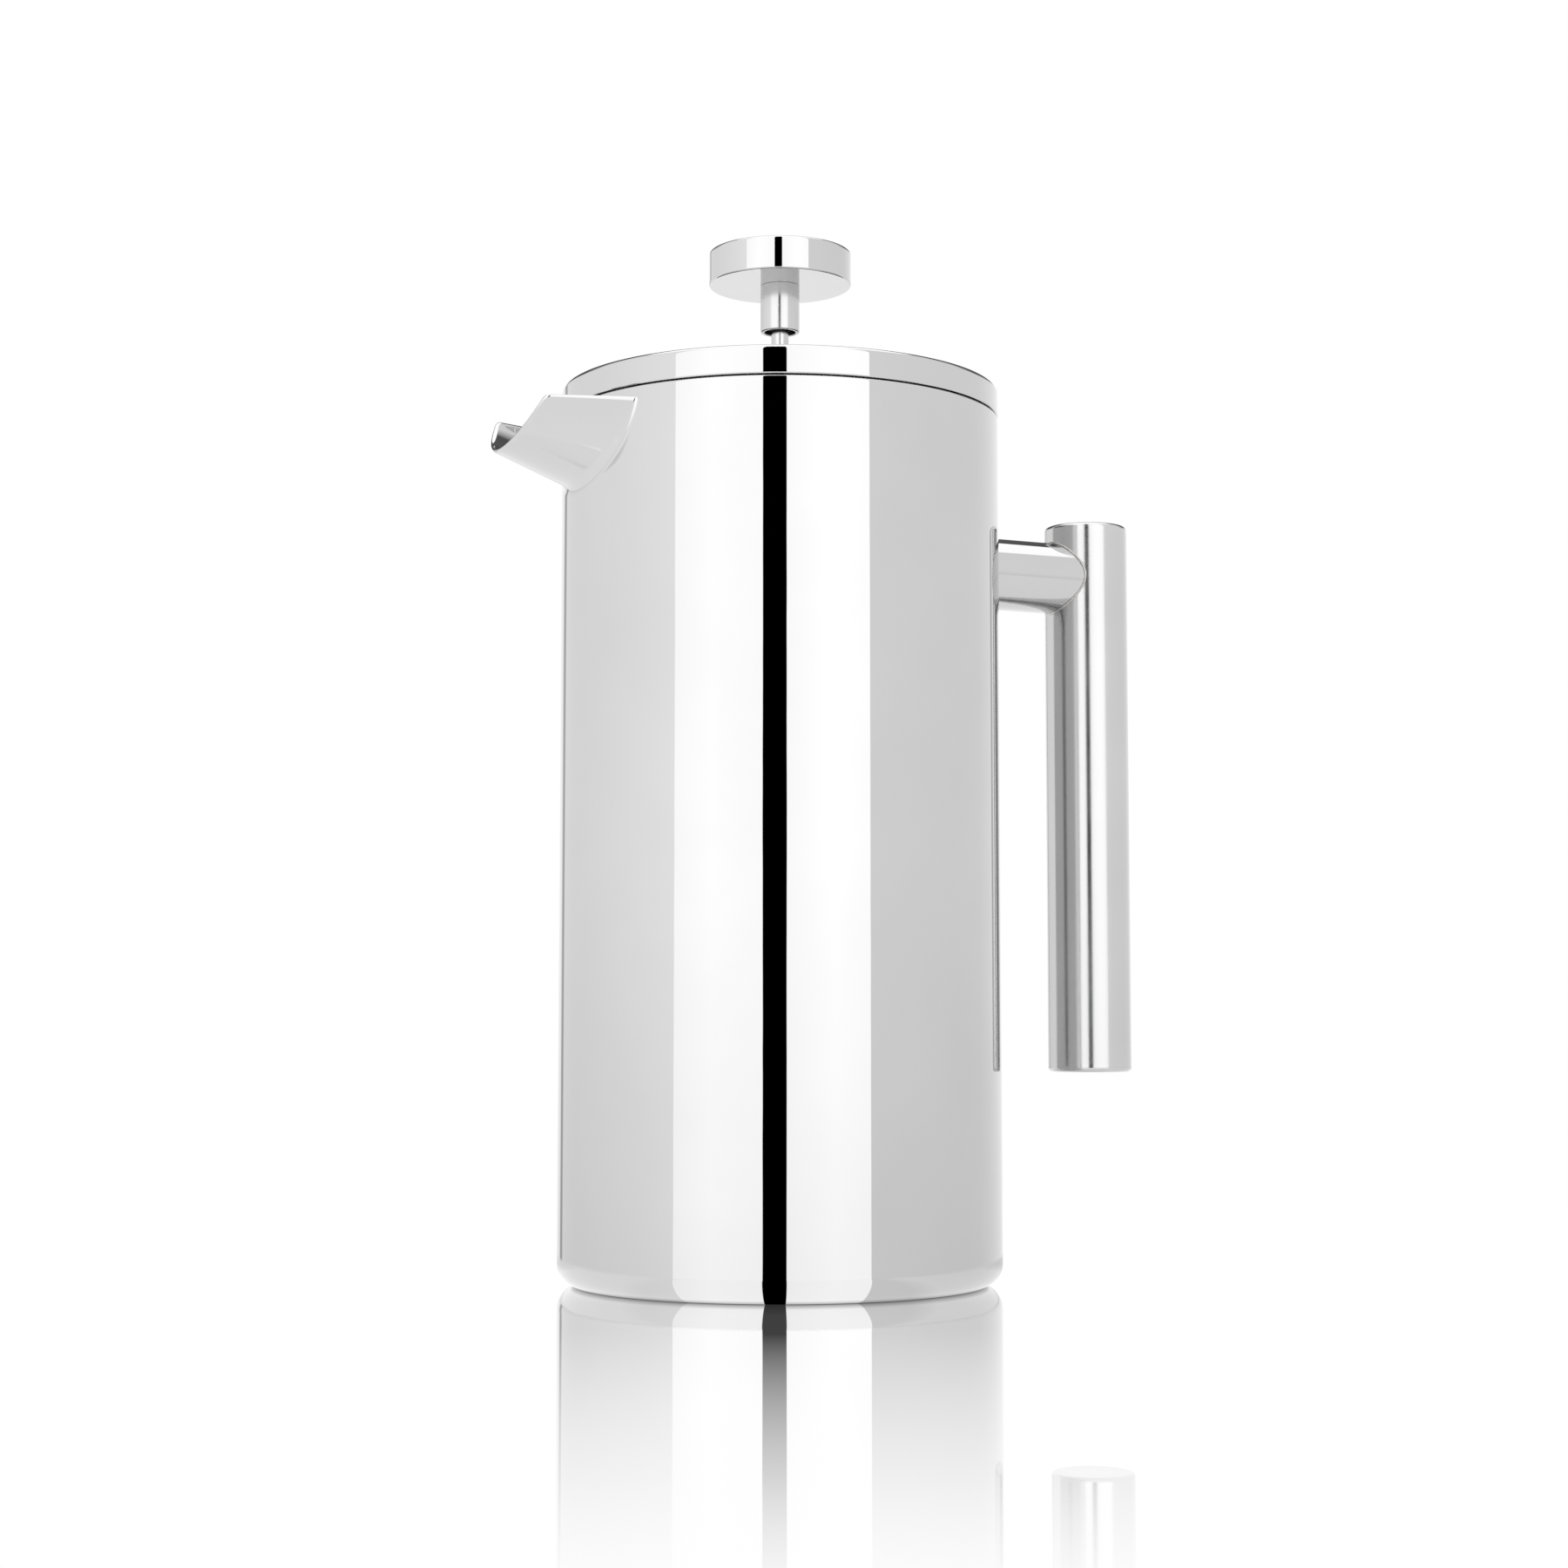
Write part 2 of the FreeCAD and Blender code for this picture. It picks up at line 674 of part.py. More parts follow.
def build_pieces():
    return [
        outer_shell(),
        base_cap(),
        inner_liner(),
        spout_throat(),
        spout(),
        handle_grip(),
        handle_cap("handle_top_cap", "grip_top", 1),
        handle_cap("handle_bottom_cap", "grip_bottom", -1),
        handle_arm(),
        weld("arm_weld_bead", "grip_radius", "grip_reach"),
        weld("arm_root_weld", "body_radius", "0"),
        lid_cover(),
        lid_liner(),
        guide_bush(),
        hex_nut("guide_nut", "nut_radius", "bush_radius", "rim_height - nut_height", "nut_height"),
        plunger_rod(),
        rod_collar(),
        hex_nut("filter_nut", "hub_radius", FILTER_BORE, "stack_bottom", "hub_height"),
        cross_plate(),
        backing_screen(),
        filter_screen(),
        spiral_plate(),
        edge_spring(),
        knob_disc(),
        sleeve("knob_neck", "neck_radius", "neck_bore", "neck_bottom", "knob_bottom"),
        sleeve("knob_insert", "neck_bore", FILTER_BORE, "insert_bottom", "knob_bottom"),
    ]


def write_pieces(pieces):
    """Checks every object and every piece, then writes one STEP file for each piece."""
    for item in doc.Objects:
        if "Invalid" in item.State or "Error" in item.State:
            raise ValueError(f"{item.Label} failed: {item.State}")
    for piece in pieces:
        if piece.Shape.isNull() or not piece.Shape.isValid():
            raise ValueError(f"{piece.Label} has no valid shape")
    os.makedirs("parts", exist_ok=True)
    for piece in pieces:
        piece.Shape.exportStep(f"parts/{piece.Label}.step")
        print(piece.Label, len(piece.Shape.Solids), round(piece.Shape.Volume / 1000, 3), "cm3")


pieces = build_pieces()
doc.recompute()
write_pieces(pieces)
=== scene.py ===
import json
from math import asin, cos, hypot, pi, radians, sin, sqrt, tau

import bmesh
import bpy
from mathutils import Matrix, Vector, noise


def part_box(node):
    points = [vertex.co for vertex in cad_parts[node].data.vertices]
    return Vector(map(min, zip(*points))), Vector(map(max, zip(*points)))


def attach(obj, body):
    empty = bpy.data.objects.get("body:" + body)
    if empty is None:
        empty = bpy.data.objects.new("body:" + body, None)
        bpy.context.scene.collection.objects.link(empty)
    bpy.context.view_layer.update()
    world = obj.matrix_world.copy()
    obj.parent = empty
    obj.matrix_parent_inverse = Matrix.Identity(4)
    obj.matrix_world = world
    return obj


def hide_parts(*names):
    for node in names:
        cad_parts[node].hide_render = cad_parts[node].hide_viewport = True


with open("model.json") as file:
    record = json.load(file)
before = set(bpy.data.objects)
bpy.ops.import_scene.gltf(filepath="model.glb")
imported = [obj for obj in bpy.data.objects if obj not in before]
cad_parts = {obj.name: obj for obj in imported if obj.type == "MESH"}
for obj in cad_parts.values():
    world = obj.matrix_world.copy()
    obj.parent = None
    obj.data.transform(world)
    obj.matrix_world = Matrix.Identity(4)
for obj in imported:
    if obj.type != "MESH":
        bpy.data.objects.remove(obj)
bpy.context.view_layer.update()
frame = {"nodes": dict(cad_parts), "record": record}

MM = 0.001
ROUND_STEPS = 10          # segments in each rounded corner
SUPPORT = 0.25 * MM       # points this close to a corner keep the long walls true
BODY_SEGMENTS = 256
SMALL_SEGMENTS = 128
SHARP_ANGLE = radians(32)  # edges that turn more than this look like edges

# ---- sizes ----

SHELL_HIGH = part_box("outer_shell")[1]
LINER_LOW, LINER_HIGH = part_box("inner_liner")
SPOUT_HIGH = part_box("spout")[1]
THROAT_LOW, THROAT_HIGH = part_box("spout_throat")
LID_LOW, LID_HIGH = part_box("lid_cover")
GRIP_LOW, GRIP_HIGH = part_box("handle_grip")
ARM_LOW, ARM_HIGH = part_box("handle_arm")
BODY_RADIUS = SHELL_HIGH.y
RIM_HEIGHT = SHELL_HIGH.z
GRIP_REACH = (GRIP_LOW.x + GRIP_HIGH.x) / 2
GRIP_RADIUS = GRIP_HIGH.y
ARM_RADIUS = ARM_HIGH.y
ARM_HEIGHT = (ARM_LOW.z + ARM_HIGH.z) / 2
SHELL_WALL = BODY_RADIUS - LINER_HIGH.y
WINDOW_HALF_WIDTH = THROAT_HIGH.y
WINDOW_TOP = THROAT_HIGH.z
WINDOW_DROP = THROAT_HIGH.z - THROAT_LOW.z
# what the boxes don't show
FOOT_ROUND = 5.0 * MM
FOOT_INNER_RADIUS = 38.0 * MM
LINER_WALL = 0.6 * MM
LINER_RADIUS = 44.5 * MM
LINER_ROUND = 3.4 * MM
RIM_ROUND = 1.4 * MM
SHELL_RIM_ROUND = 0.35 * MM
THROAT_WALL = 0.6 * MM
TUBE_WALL = 1.2 * MM
ROD_BORE = 2.05 * MM      # what slides or screws on the rod is bored to this radius


# ---- outlines ----

def rounded(corners):
    """A closed outline of (radius, height) points from corners (radius, height, rounding).

    Long edges get a supporting point near each end."""
    points = []
    for index, (x, y, size) in enumerate(corners):
        here = Vector((x, y))
        before = Vector(corners[index - 1][:2])
        after = Vector(corners[(index + 1) % len(corners)][:2])
        to_before = (before - here).normalized()
        to_after = (after - here).normalized()
        half_angle = to_before.angle(to_after) / 2
        if size <= 0:
            points.append(here)
            continue
        centre = here + (to_before + to_after).normalized() * size / sin(half_angle)
        reach = size * cos(half_angle) / sin(half_angle)
        start = here + to_before * reach - centre
        turn = (here + to_after * reach - centre).angle_signed(start)
        for step in range(ROUND_STEPS + 1):
            angle = turn * step / ROUND_STEPS
            points.append(centre + Vector((
                start.x * cos(angle) - start.y * sin(angle),
                start.x * sin(angle) + start.y * cos(angle),
            )))
    return supported(points)


def supported(points):
    """Adds a point near both ends of every long straight stretch of a closed outline."""
    result = []
    for index, point in enumerate(points):
        result.append(point)
        step = points[(index + 1) % len(points)] - point
        if step.length > 4 * SUPPORT:
            result.append(point + step.normalized() * SUPPORT)
            result.append(point + step - step.normalized() * SUPPORT)
    return result


def arc_points(centre, radius, start, end):
    """Points on an arc in the (radius, height) plane, from one angle to another in degrees."""
    points = []
    for step in range(ROUND_STEPS + 1):
        angle = radians(start + (end - start) * step / ROUND_STEPS)
        points.append(Vector((centre[0] + radius * cos(angle), centre[1] + radius * sin(angle))))
    return points


# ---- meshes ----

def finished(bm, name):
    """Turns a bmesh into a smooth mesh with sharp creases."""
    bmesh.ops.remove_doubles(bm, verts=bm.verts, dist=1e-7)
    bmesh.ops.dissolve_degenerate(bm, edges=bm.edges, dist=1e-8)
    bmesh.ops.recalc_face_normals(bm, faces=bm.faces)
    mesh = bpy.data.meshes.new(name)
    bm.to_mesh(mesh)
    bm.free()
    mesh.polygons.foreach_set("use_smooth", [True] * len(mesh.polygons))
    mesh.set_sharp_from_angle(angle=SHARP_ANGLE)
    return mesh


def skin(bm, rows, wrap=False):
    """Faces between rings of vertices; wrap joins the last ring to the first."""
    for i in range(len(rows) if wrap else len(rows) - 1):
        upper = rows[(i + 1) % len(rows)]
        lower = rows[i]
        for j in range(len(lower)):
            k = (j + 1) % len(lower)
            bm.faces.new((lower[j], lower[k], upper[k], upper[j]))


def lathe(name, outline, segments=SMALL_SEGMENTS, centre=(0, 0)):
    """A mesh turned from a closed outline about a vertical axis through centre."""
    bm = bmesh.new()
    rows = []
    for x, z in outline:
        row = []
        for step in range(segments):
            angle = tau * step / segments
            row.append(bm.verts.new((centre[0] + x * cos(angle), centre[1] + x * sin(angle), z)))
        rows.append(row)
    skin(bm, rows, wrap=True)
    return finished(bm, name)


def thickened(name, mesh, wall):
    """The same mesh as a sheet; a positive wall grows along the normals."""
    item = bpy.data.objects.new(name, mesh)
    bpy.context.scene.collection.objects.link(item)
    solid = item.modifiers.new("sheet", "SOLIDIFY")
    solid.thickness = abs(wall)
    solid.offset = 1 if wall > 0 else -1
    solid.use_even_offset = True
    depsgraph = bpy.context.evaluated_depsgraph_get()
    result = bpy.data.meshes.new_from_object(item.evaluated_get(depsgraph))
    bpy.data.objects.remove(item)
    result.name = name
    result.polygons.foreach_set("use_smooth", [True] * len(result.polygons))
    result.set_sharp_from_angle(angle=SHARP_ANGLE)
    return result


def tube(bm, path, radius, sides, closed=False):
    """A round tube along a path of points; radius is a number or one for each point."""
    rows = []
    count = len(path)
    for index, point in enumerate(path):
        before = path[index - 1] if closed or index else point
        after = path[(index + 1) % count] if closed or index < count - 1 else point
        along = (after - before).normalized()
        side = along.cross(Vector((0, 0, 1)))
        if side.length < 0.2:
            side = along.cross(Vector((1, 0, 0)))
        side.normalize()
        up = side.cross(along)
        size = radius[index] if isinstance(radius, list) else radius
        rows.append([
            bm.verts.new(point + side * size * cos(tau * k / sides) + up * size * sin(tau * k / sides))
            for k in range(sides)
        ])
    skin(bm, rows, wrap=closed)
    if not closed:
        bm.faces.new(rows[0])
        bm.faces.new(rows[-1])


def window_bottom(lateral):
    """Height of the pour window's arc at a distance from the spout's centre plane."""
    radius = (WINDOW_HALF_WIDTH ** 2 + WINDOW_DROP ** 2) / (2 * WINDOW_DROP)
    centre = WINDOW_TOP - WINDOW_DROP + radius
    if abs(lateral) >= WINDOW_HALF_WIDTH:
        return WINDOW_TOP
    return centre - sqrt(radius ** 2 - lateral ** 2)


def pierced_wall(name, below, wall_radius, above, thickness):
    """A turned wall with the pour window in it.

    below and above are the outlines under and over the straight wall."""
    half_turn = asin(WINDOW_HALF_WIDTH / wall_radius)
    window_steps = 40
    angles = []
    for step in range(window_steps + 1):
        lateral = WINDOW_HALF_WIDTH * sin(pi * (step / window_steps - 0.5))
        angles.append(pi + asin(lateral / wall_radius))
    plain_steps = BODY_SEGMENTS - window_steps // 2
    for step in range(1, plain_steps):
        angles.append(pi + half_turn + (tau - 2 * half_turn) * step / plain_steps)
    low = below[-1].y
    high = above[0].y
    shares = (0.002, 0.25, 0.5, 0.75, 1)
    upper_shares = (0, 0.5, 1)
    bm = bmesh.new()
    rows = [[bm.verts.new((x * cos(a), x * sin(a), z)) for a in angles] for x, z in below]
    for share in shares:
        row = []
        for angle in angles:
            top = window_bottom(wall_radius * sin(angle)) if cos(angle) < 0 else WINDOW_TOP
            row.append(bm.verts.new((
                wall_radius * cos(angle), wall_radius * sin(angle), low + (top - low) * share
            )))
        rows.append(row)
    skin(bm, rows)
    rows = []
    for share in upper_shares:
        z = WINDOW_TOP + (high - WINDOW_TOP) * share
        rows.append([bm.verts.new((wall_radius * cos(a), wall_radius * sin(a), z)) for a in angles])
    rows += [[bm.verts.new((x * cos(a), x * sin(a), z)) for a in angles] for x, z in above]
    skin(bm, rows)
    return thickened(name, finished(bm, name), thickness)


# ---- materials ----

class Nodes:
    """Short calls for building a node tree."""

    def __init__(self, tree):
        self.tree = tree

    def add(self, kind, inputs=None, **settings):
        node = self.tree.nodes.new(kind)
        for key, value in settings.items():
            setattr(node, key, value)
        for key, value in (inputs or {}).items():
            if isinstance(value, bpy.types.NodeSocket):
                self.tree.links.new(value, node.inputs[key])
            else:
                node.inputs[key].default_value = value
        return node

    def between(self, value, low, high, start=0.0, end=1.0):
        """Maps value from the range start to end on to low to high."""
        settings = {"Value": value, "From Min": start, "From Max": end, "To Min": low, "To Max": high}
        return self.add("ShaderNodeMapRange", settings).outputs["Result"]

    def math(self, operation, first, second=0.0):
        return self.add("ShaderNodeMath", {0: first, 1: second}, operation=operation).outputs[0]

    def noise(self, scale, stretch=(1, 1, 1), detail=4.0):
        place = self.add("ShaderNodeTexCoord").outputs["Object"]
        place = self.add("ShaderNodeMapping", {"Vector": place, "Scale": stretch}).outputs["Vector"]
        settings = {"Vector": place, "Scale": scale, "Detail": detail}
        return self.add("ShaderNodeTexNoise", settings).outputs["Fac"]

    def tint(self, factor, dark, light):
        mix = self.add("ShaderNodeMix", data_type="RGBA")
        self.tree.links.new(factor, mix.inputs["Factor"])
        mix.inputs["A"].default_value = (*dark, 1)
        mix.inputs["B"].default_value = (*light, 1)
        return mix.outputs["Result"]

    def edges(self):
        """0 on flats and up to 1 on outward edges, which handling wears smooth."""
        point = self.add("ShaderNodeNewGeometry").outputs["Pointiness"]
        return self.between(point, 0.0, 1.0, 0.51, 0.6)

    def bump(self, height, distance, after=None):
        settings = {"Height": height, "Distance": distance}
        if after:
            settings["Normal"] = after
        return self.add("ShaderNodeBump", settings).outputs["Normal"]

    def mixed(self, factor, first, second):
        return self.add("ShaderNodeMix", {"Factor": factor, "A": first, "B": second}).outputs["Result"]


def metal(name, dark, light, rough, variation, bumps):
    """A bare metal. rough is (low, high), variation the size in metres of its patches, and
    bumps a list of (noise scale, stretch, distance in metres)."""
    material = bpy.data.materials.new(name)
    material.use_nodes = True
    nodes = Nodes(material.node_tree)
    shader = nodes.tree.nodes["Principled BSDF"]
    shader.inputs["Metallic"].default_value = 1.0
    patches = nodes.noise(1 / variation, detail=5.0)
    wear = nodes.edges()
    worn_lighter = 0.3
    worn_smoother = 0.4
    shade = nodes.math("ADD", patches, nodes.math("MULTIPLY", wear, worn_lighter))
    nodes.tree.links.new(nodes.tint(shade, dark, light), shader.inputs["Base Color"])
    roughness = nodes.between(patches, rough[0], rough[1], 0.3, 0.7)
    roughness = nodes.math("SUBTRACT", roughness, nodes.math("MULTIPLY", wear, rough[0] * worn_smoother))
    nodes.tree.links.new(roughness, shader.inputs["Roughness"])
    normal = None
    for scale, stretch, distance in bumps:
        normal = nodes.bump(nodes.noise(scale, stretch), distance, after=normal)
    nodes.tree.links.new(normal, shader.inputs["Normal"])
    return material


def make_materials():
    upright = (1, 1, 0.04)    # stretches a noise into vertical lines
    return {
        # buffed to a mirror, with a trace of waviness and of vertical polishing lines
        "mirror": metal(
            "mirror_steel", (0.53, 0.53, 0.53), (0.58, 0.58, 0.58), (0.003, 0.009), 0.03,
            [(25, (1, 1, 0.3), 0.00004), (900, upright, 0.0000004)],
        ),
        # tube and rod keep a trace of their drawing lines, which softens what they reflect
        "drawn": metal(
            "drawn_steel", (0.52, 0.52, 0.52), (0.58, 0.58, 0.58), (0.16, 0.21), 0.02,
            [(30, (1, 1, 0.3), 0.00003), (1200, upright, 0.0000008)],
        ),
        # the lathe leaves rings on flat faces and turned parts
        "turned": metal(
            "turned_steel", (0.51, 0.51, 0.50), (0.58, 0.58, 0.57), (0.05, 0.10), 0.01,
            [(60, (1, 1, 1), 0.00002), (2500, (1, 1, 6), 0.000001)],
        ),
        "satin": metal(
            "satin_steel", (0.62, 0.62, 0.61), (0.74, 0.74, 0.73), (0.34, 0.46), 0.02,
            [(1500, upright, 0.000004)],
        ),
        "weld": metal(
            "weld_steel", (0.34, 0.33, 0.32), (0.60, 0.59, 0.58), (0.12, 0.35), 0.002,
            [(900, (1, 1, 1), 0.00008)],
        ),
        "woven": metal(
            "woven_steel", (0.42, 0.42, 0.41), (0.62, 0.62, 0.60), (0.18, 0.34), 0.004,
            [(4000, (1, 1, 1), 0.000004)],
        ),
        "spring": metal(
            "spring_steel", (0.50, 0.50, 0.49), (0.68, 0.68, 0.67), (0.08, 0.2), 0.005,
            [(3000, (1, 1, 1), 0.000003)],
        ),
    }


MATERIALS = make_materials()
BODY_OF = {n: body for body, names in frame["record"]["behaviour"]["bodies"].items() for n in names}


def place(mesh, node, finish):
    """Shows mesh in place of a CAD node, on that node's body."""
    mesh.materials.clear()
    mesh.materials.append(MATERIALS[finish])
    item = bpy.data.objects.new(f"{node}_finished", mesh)
    bpy.context.scene.collection.objects.link(item)
    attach(item, BODY_OF[node])
    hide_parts(node)


# ---- vessel ----

def make_shell():
    below = [Vector((FOOT_INNER_RADIUS, 0)), Vector((BODY_RADIUS - FOOT_ROUND - SUPPORT, 0))]
    below += arc_points((BODY_RADIUS - FOOT_ROUND, FOOT_ROUND), FOOT_ROUND, -90, 0)
    above = arc_points((BODY_RADIUS - SHELL_RIM_ROUND, RIM_HEIGHT - SHELL_RIM_ROUND), SHELL_RIM_ROUND, 0, 90)
    above.insert(0, above[0] - Vector((0, SUPPORT)))
    place(pierced_wall("shell", below, BODY_RADIUS, above, -SHELL_WALL), "outer_shell", "mirror")


def make_liner():
    floor = LINER_LOW.z + LINER_WALL
    below = [Vector((0.5 * MM, floor)), Vector((LINER_RADIUS - LINER_ROUND - SUPPORT, floor))]
    below += arc_points((LINER_RADIUS - LINER_ROUND, floor + LINER_ROUND), LINER_ROUND, -90, 0)
    above = [Vector((LINER_RADIUS, RIM_HEIGHT - RIM_ROUND - SUPPORT))]
    above += arc_points((LINER_RADIUS + RIM_ROUND, RIM_HEIGHT - RIM_ROUND), RIM_ROUND, 180, 90)
    above += [Vector((BODY_RADIUS - SHELL_WALL, RIM_HEIGHT))]
    place(pierced_wall("liner", below, LINER_RADIUS, above, -LINER_WALL), "inner_liner", "satin")


def make_base_cap():
    low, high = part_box("base_cap")
    sheet = SHELL_WALL
    rise = high.z - low.z - sheet
    outline = rounded([
        (0, low.z + rise, 0),
        (FOOT_INNER_RADIUS - 2 * rise, low.z + rise, sheet),
        (FOOT_INNER_RADIUS - rise, low.z, sheet / 2),
        (high.x, low.z, 0),
        (high.x, low.z + sheet, 0),
        (FOOT_INNER_RADIUS - rise + sheet / 2, low.z + sheet, sheet),
        (FOOT_INNER_RADIUS - 2 * rise + sheet / 2, high.z, sheet / 2),
        (0, high.z, 0),
    ])
    place(lathe("base_cap", outline, segments=BODY_SEGMENTS), "base_cap", "satin")


def make_throat():
    """The collar follows the window's arc and its straight upper edge."""
    bm = bmesh.new()
    radius = (WINDOW_HALF_WIDTH ** 2 + WINDOW_DROP ** 2) / (2 * WINDOW_DROP)
    centre = WINDOW_TOP - WINDOW_DROP + radius
    half_angle = asin(WINDOW_HALF_WIDTH / radius)
    steps = 48
    loop = []
    for step in range(steps + 1):
        angle = half_angle * (2 * step / steps - 1)
        loop.append((radius * sin(angle), centre - radius * cos(angle)))
    loop += [(WINDOW_HALF_WIDTH * (1 - 2 * k / steps), WINDOW_TOP) for k in range(1, steps)]
    inner_end = [bm.verts.new((-sqrt(LINER_RADIUS ** 2 - y * y), y, z)) for y, z in loop]
    outer_end = [bm.verts.new((-sqrt(BODY_RADIUS ** 2 - y * y), y, z)) for y, z in loop]
    skin(bm, [inner_end, outer_end])
    mesh = thickened("throat", finished(bm, "throat"), -THROAT_WALL)
    place(mesh, "spout_throat", "satin")


# ---- spout ----

SPOUT_SHEET = 1.0 * MM
SPOUT_TOP = SPOUT_HIGH.z
SPOUT_ROOT_REACH = 42.0 * MM
SPOUT_ROOT_HALF_WIDTH = 23.6 * MM
SPOUT_ROOT_DROP = 19.3 * MM
SPOUT_END_REACH = 72.0 * MM
SPOUT_END_HALF_WIDTH = 13.3 * MM
SPOUT_END_DROP = 8.35 * MM
MOUTH_REACH = 63.3 * MM
MOUTH_LEAN = 0.49
MOUTH_CORNER = 0.5 * MM   # how far the mouth's upper corners are ground back
KEEL_BLEND = 2.0 * MM     # how far the curve between trough and shell spreads, at the keel
EDGE_BLEND = 0.5 * MM     # and at the upper edges
EDGE_SOFTENING = 1.0 * MM
EDGE_STEPS = 7


def spout_section(reach, across):
    """The trough's outside at a distance from the axis; across runs from -1 to 1."""
    share = (reach - SPOUT_ROOT_REACH) / (SPOUT_END_REACH - SPOUT_ROOT_REACH)
    half_width = SPOUT_ROOT_HALF_WIDTH + (SPOUT_END_HALF_WIDTH - SPOUT_ROOT_HALF_WIDTH) * share
    drop = SPOUT_ROOT_DROP + (SPOUT_END_DROP - SPOUT_ROOT_DROP) * share
    radius = (half_width ** 2 + drop ** 2) / (2 * drop)
    angle = asin(half_width / radius) * across
    return Vector((-reach, radius * sin(angle), SPOUT_TOP - drop + radius * (1 - cos(angle))))


def spout_normal(reach, across):
    """The trough's outward normal."""
    step = 0.001
    along = spout_section(reach + step * MM, across) - spout_section(reach - step * MM, across)
    round_it = spout_section(reach, across + step) - spout_section(reach, across - step)
    return along.cross(round_it).normalized()


def spout_reach(across, inside):
    """The reach at which a line along the trough stops being inside."""
    low, high = SPOUT_ROOT_REACH, SPOUT_END_REACH
    for _ in range(40):
        middle = (low + high) / 2
        if inside(middle, across):
            low = middle
        else:
            high = middle
    return low


def in_vessel(reach, across):
    point = spout_section(reach, across)
    return hypot(point.x, point.y) < BODY_RADIUS


def sheet_in_vessel(reach, across):
    point = spout_section(reach, across) - spout_normal(reach, across) * SPOUT_SHEET
    return hypot(point.x, point.y) < BODY_RADIUS


def before_mouth(reach, across):
    depth = SPOUT_TOP - spout_section(reach, across).z
    corner = max(0, 1 - depth / (2 * MOUTH_CORNER)) ** 2 * MOUTH_CORNER
    return reach < MOUTH_REACH + MOUTH_LEAN * depth - corner


def spout_blend(across):
    return KEEL_BLEND + (EDGE_BLEND - KEEL_BLEND) * across ** 4


def blend_start(root, across):
    """Where the curve between the shell and the trough begins, on the shell.

    It lies off the seam at a right angle, but level with it at the trough's upper edges."""
    start = spout_section(root, across)
    nudge = 0.002 if across < 0 else -0.002
    beside = spout_section(spout_reach(across + nudge, in_vessel), across + nudge)
    seam = (beside - start) * (1 if across < 0 else -1)
    normal = Vector((start.x, start.y, 0)).normalized()
    away = normal.cross(seam).normalized()
    if away.z > 0 and abs(across) < 0.5 or away.y * across < 0:
        away = -away
    level = Vector((0, 1 if across > 0 else -1, 0))
    level = (level - normal * level.dot(normal)).normalized()
    share = abs(across) ** 6
    edge = start + (away * (1 - share) + level * share).normalized() * spout_blend(across)
    return Vector((edge.x, edge.y, 0)).normalized() * BODY_RADIUS + Vector((0, 0, edge.z))


def softened(distance):
    """How much of the sheet's thickness is left at a distance from its edge."""
    return sqrt(max(0, 1 - max(0, 1 - distance / EDGE_SOFTENING) ** 2))


def spout_sheet(reach, across, share):
    """The outside and inside of the sheet where a share of its thickness is left."""
    normal = spout_normal(reach, across)
    middle = spout_section(reach, across) - normal * SPOUT_SHEET / 2
    half = normal * share * SPOUT_SHEET / 2
    return middle + half, middle - half


def make_spout():
    """The trough, drawn out of the shell in a smooth curve, with softened edges."""
    blend_steps = 14
    length_steps = 24
    half_steps = 44
    half_girth = SPOUT_ROOT_HALF_WIDTH * 1.4  # about half the arc of the root's section
    across_half = [
        1 - EDGE_SOFTENING / half_girth * (1 - cos(pi / 2 * k / EDGE_STEPS)) for k in range(EDGE_STEPS)
    ]
    across_half += [across_half[-1] * (1 - k / half_steps) for k in range(1, half_steps)]
    bm = bmesh.new()
    columns = []
    for across in [-a for a in across_half] + [0] + across_half[::-1]:
        root = spout_reach(across, in_vessel)
        mouth = spout_reach(across, before_mouth)
        blended = root + spout_blend(across)
        girth_share = softened((1 - abs(across)) * half_girth)
        edge = blend_start(root, across)
        seam = spout_sheet(root, across, girth_share)[0]
        spring = spout_sheet(blended, across, girth_share)[0]
        outer = []
        inner = []
        for k in range(blend_steps):
            turn = k / blend_steps
            outer.append(edge * (1 - turn) ** 2 + seam * 2 * turn * (1 - turn) + spring * turn ** 2)
        straight = mouth - EDGE_SOFTENING - blended
        reaches = [blended + straight * k / length_steps for k in range(length_steps)]
        for k in range(EDGE_STEPS + 1):
            reaches.append(mouth - EDGE_SOFTENING * (1 - sin(pi / 2 * k / EDGE_STEPS)))
        for reach in reaches:
            outside, inside = spout_sheet(reach, across, girth_share * softened(mouth - reach))
            outer.append(outside)
            inner.append(inside)
        foot = spout_sheet(spout_reach(across, sheet_in_vessel), across, girth_share)[1]
        hidden = 1 - SHELL_WALL / 2 / BODY_RADIUS
        column = outer + inner[-2::-1] + [foot]
        column.append(Vector((foot.x * hidden, foot.y * hidden, foot.z)))
        column.append(Vector((edge.x * hidden, edge.y * hidden, edge.z)))
        columns.append([bm.verts.new(point) for point in column])
    skin(bm, columns)
    for column in (columns[0], columns[-1]):
        bm.faces.new(column[:blend_steps + 1] + column[-3:])
    place(finished(bm, "spout"), "spout", "mirror")


# ---- handle ----

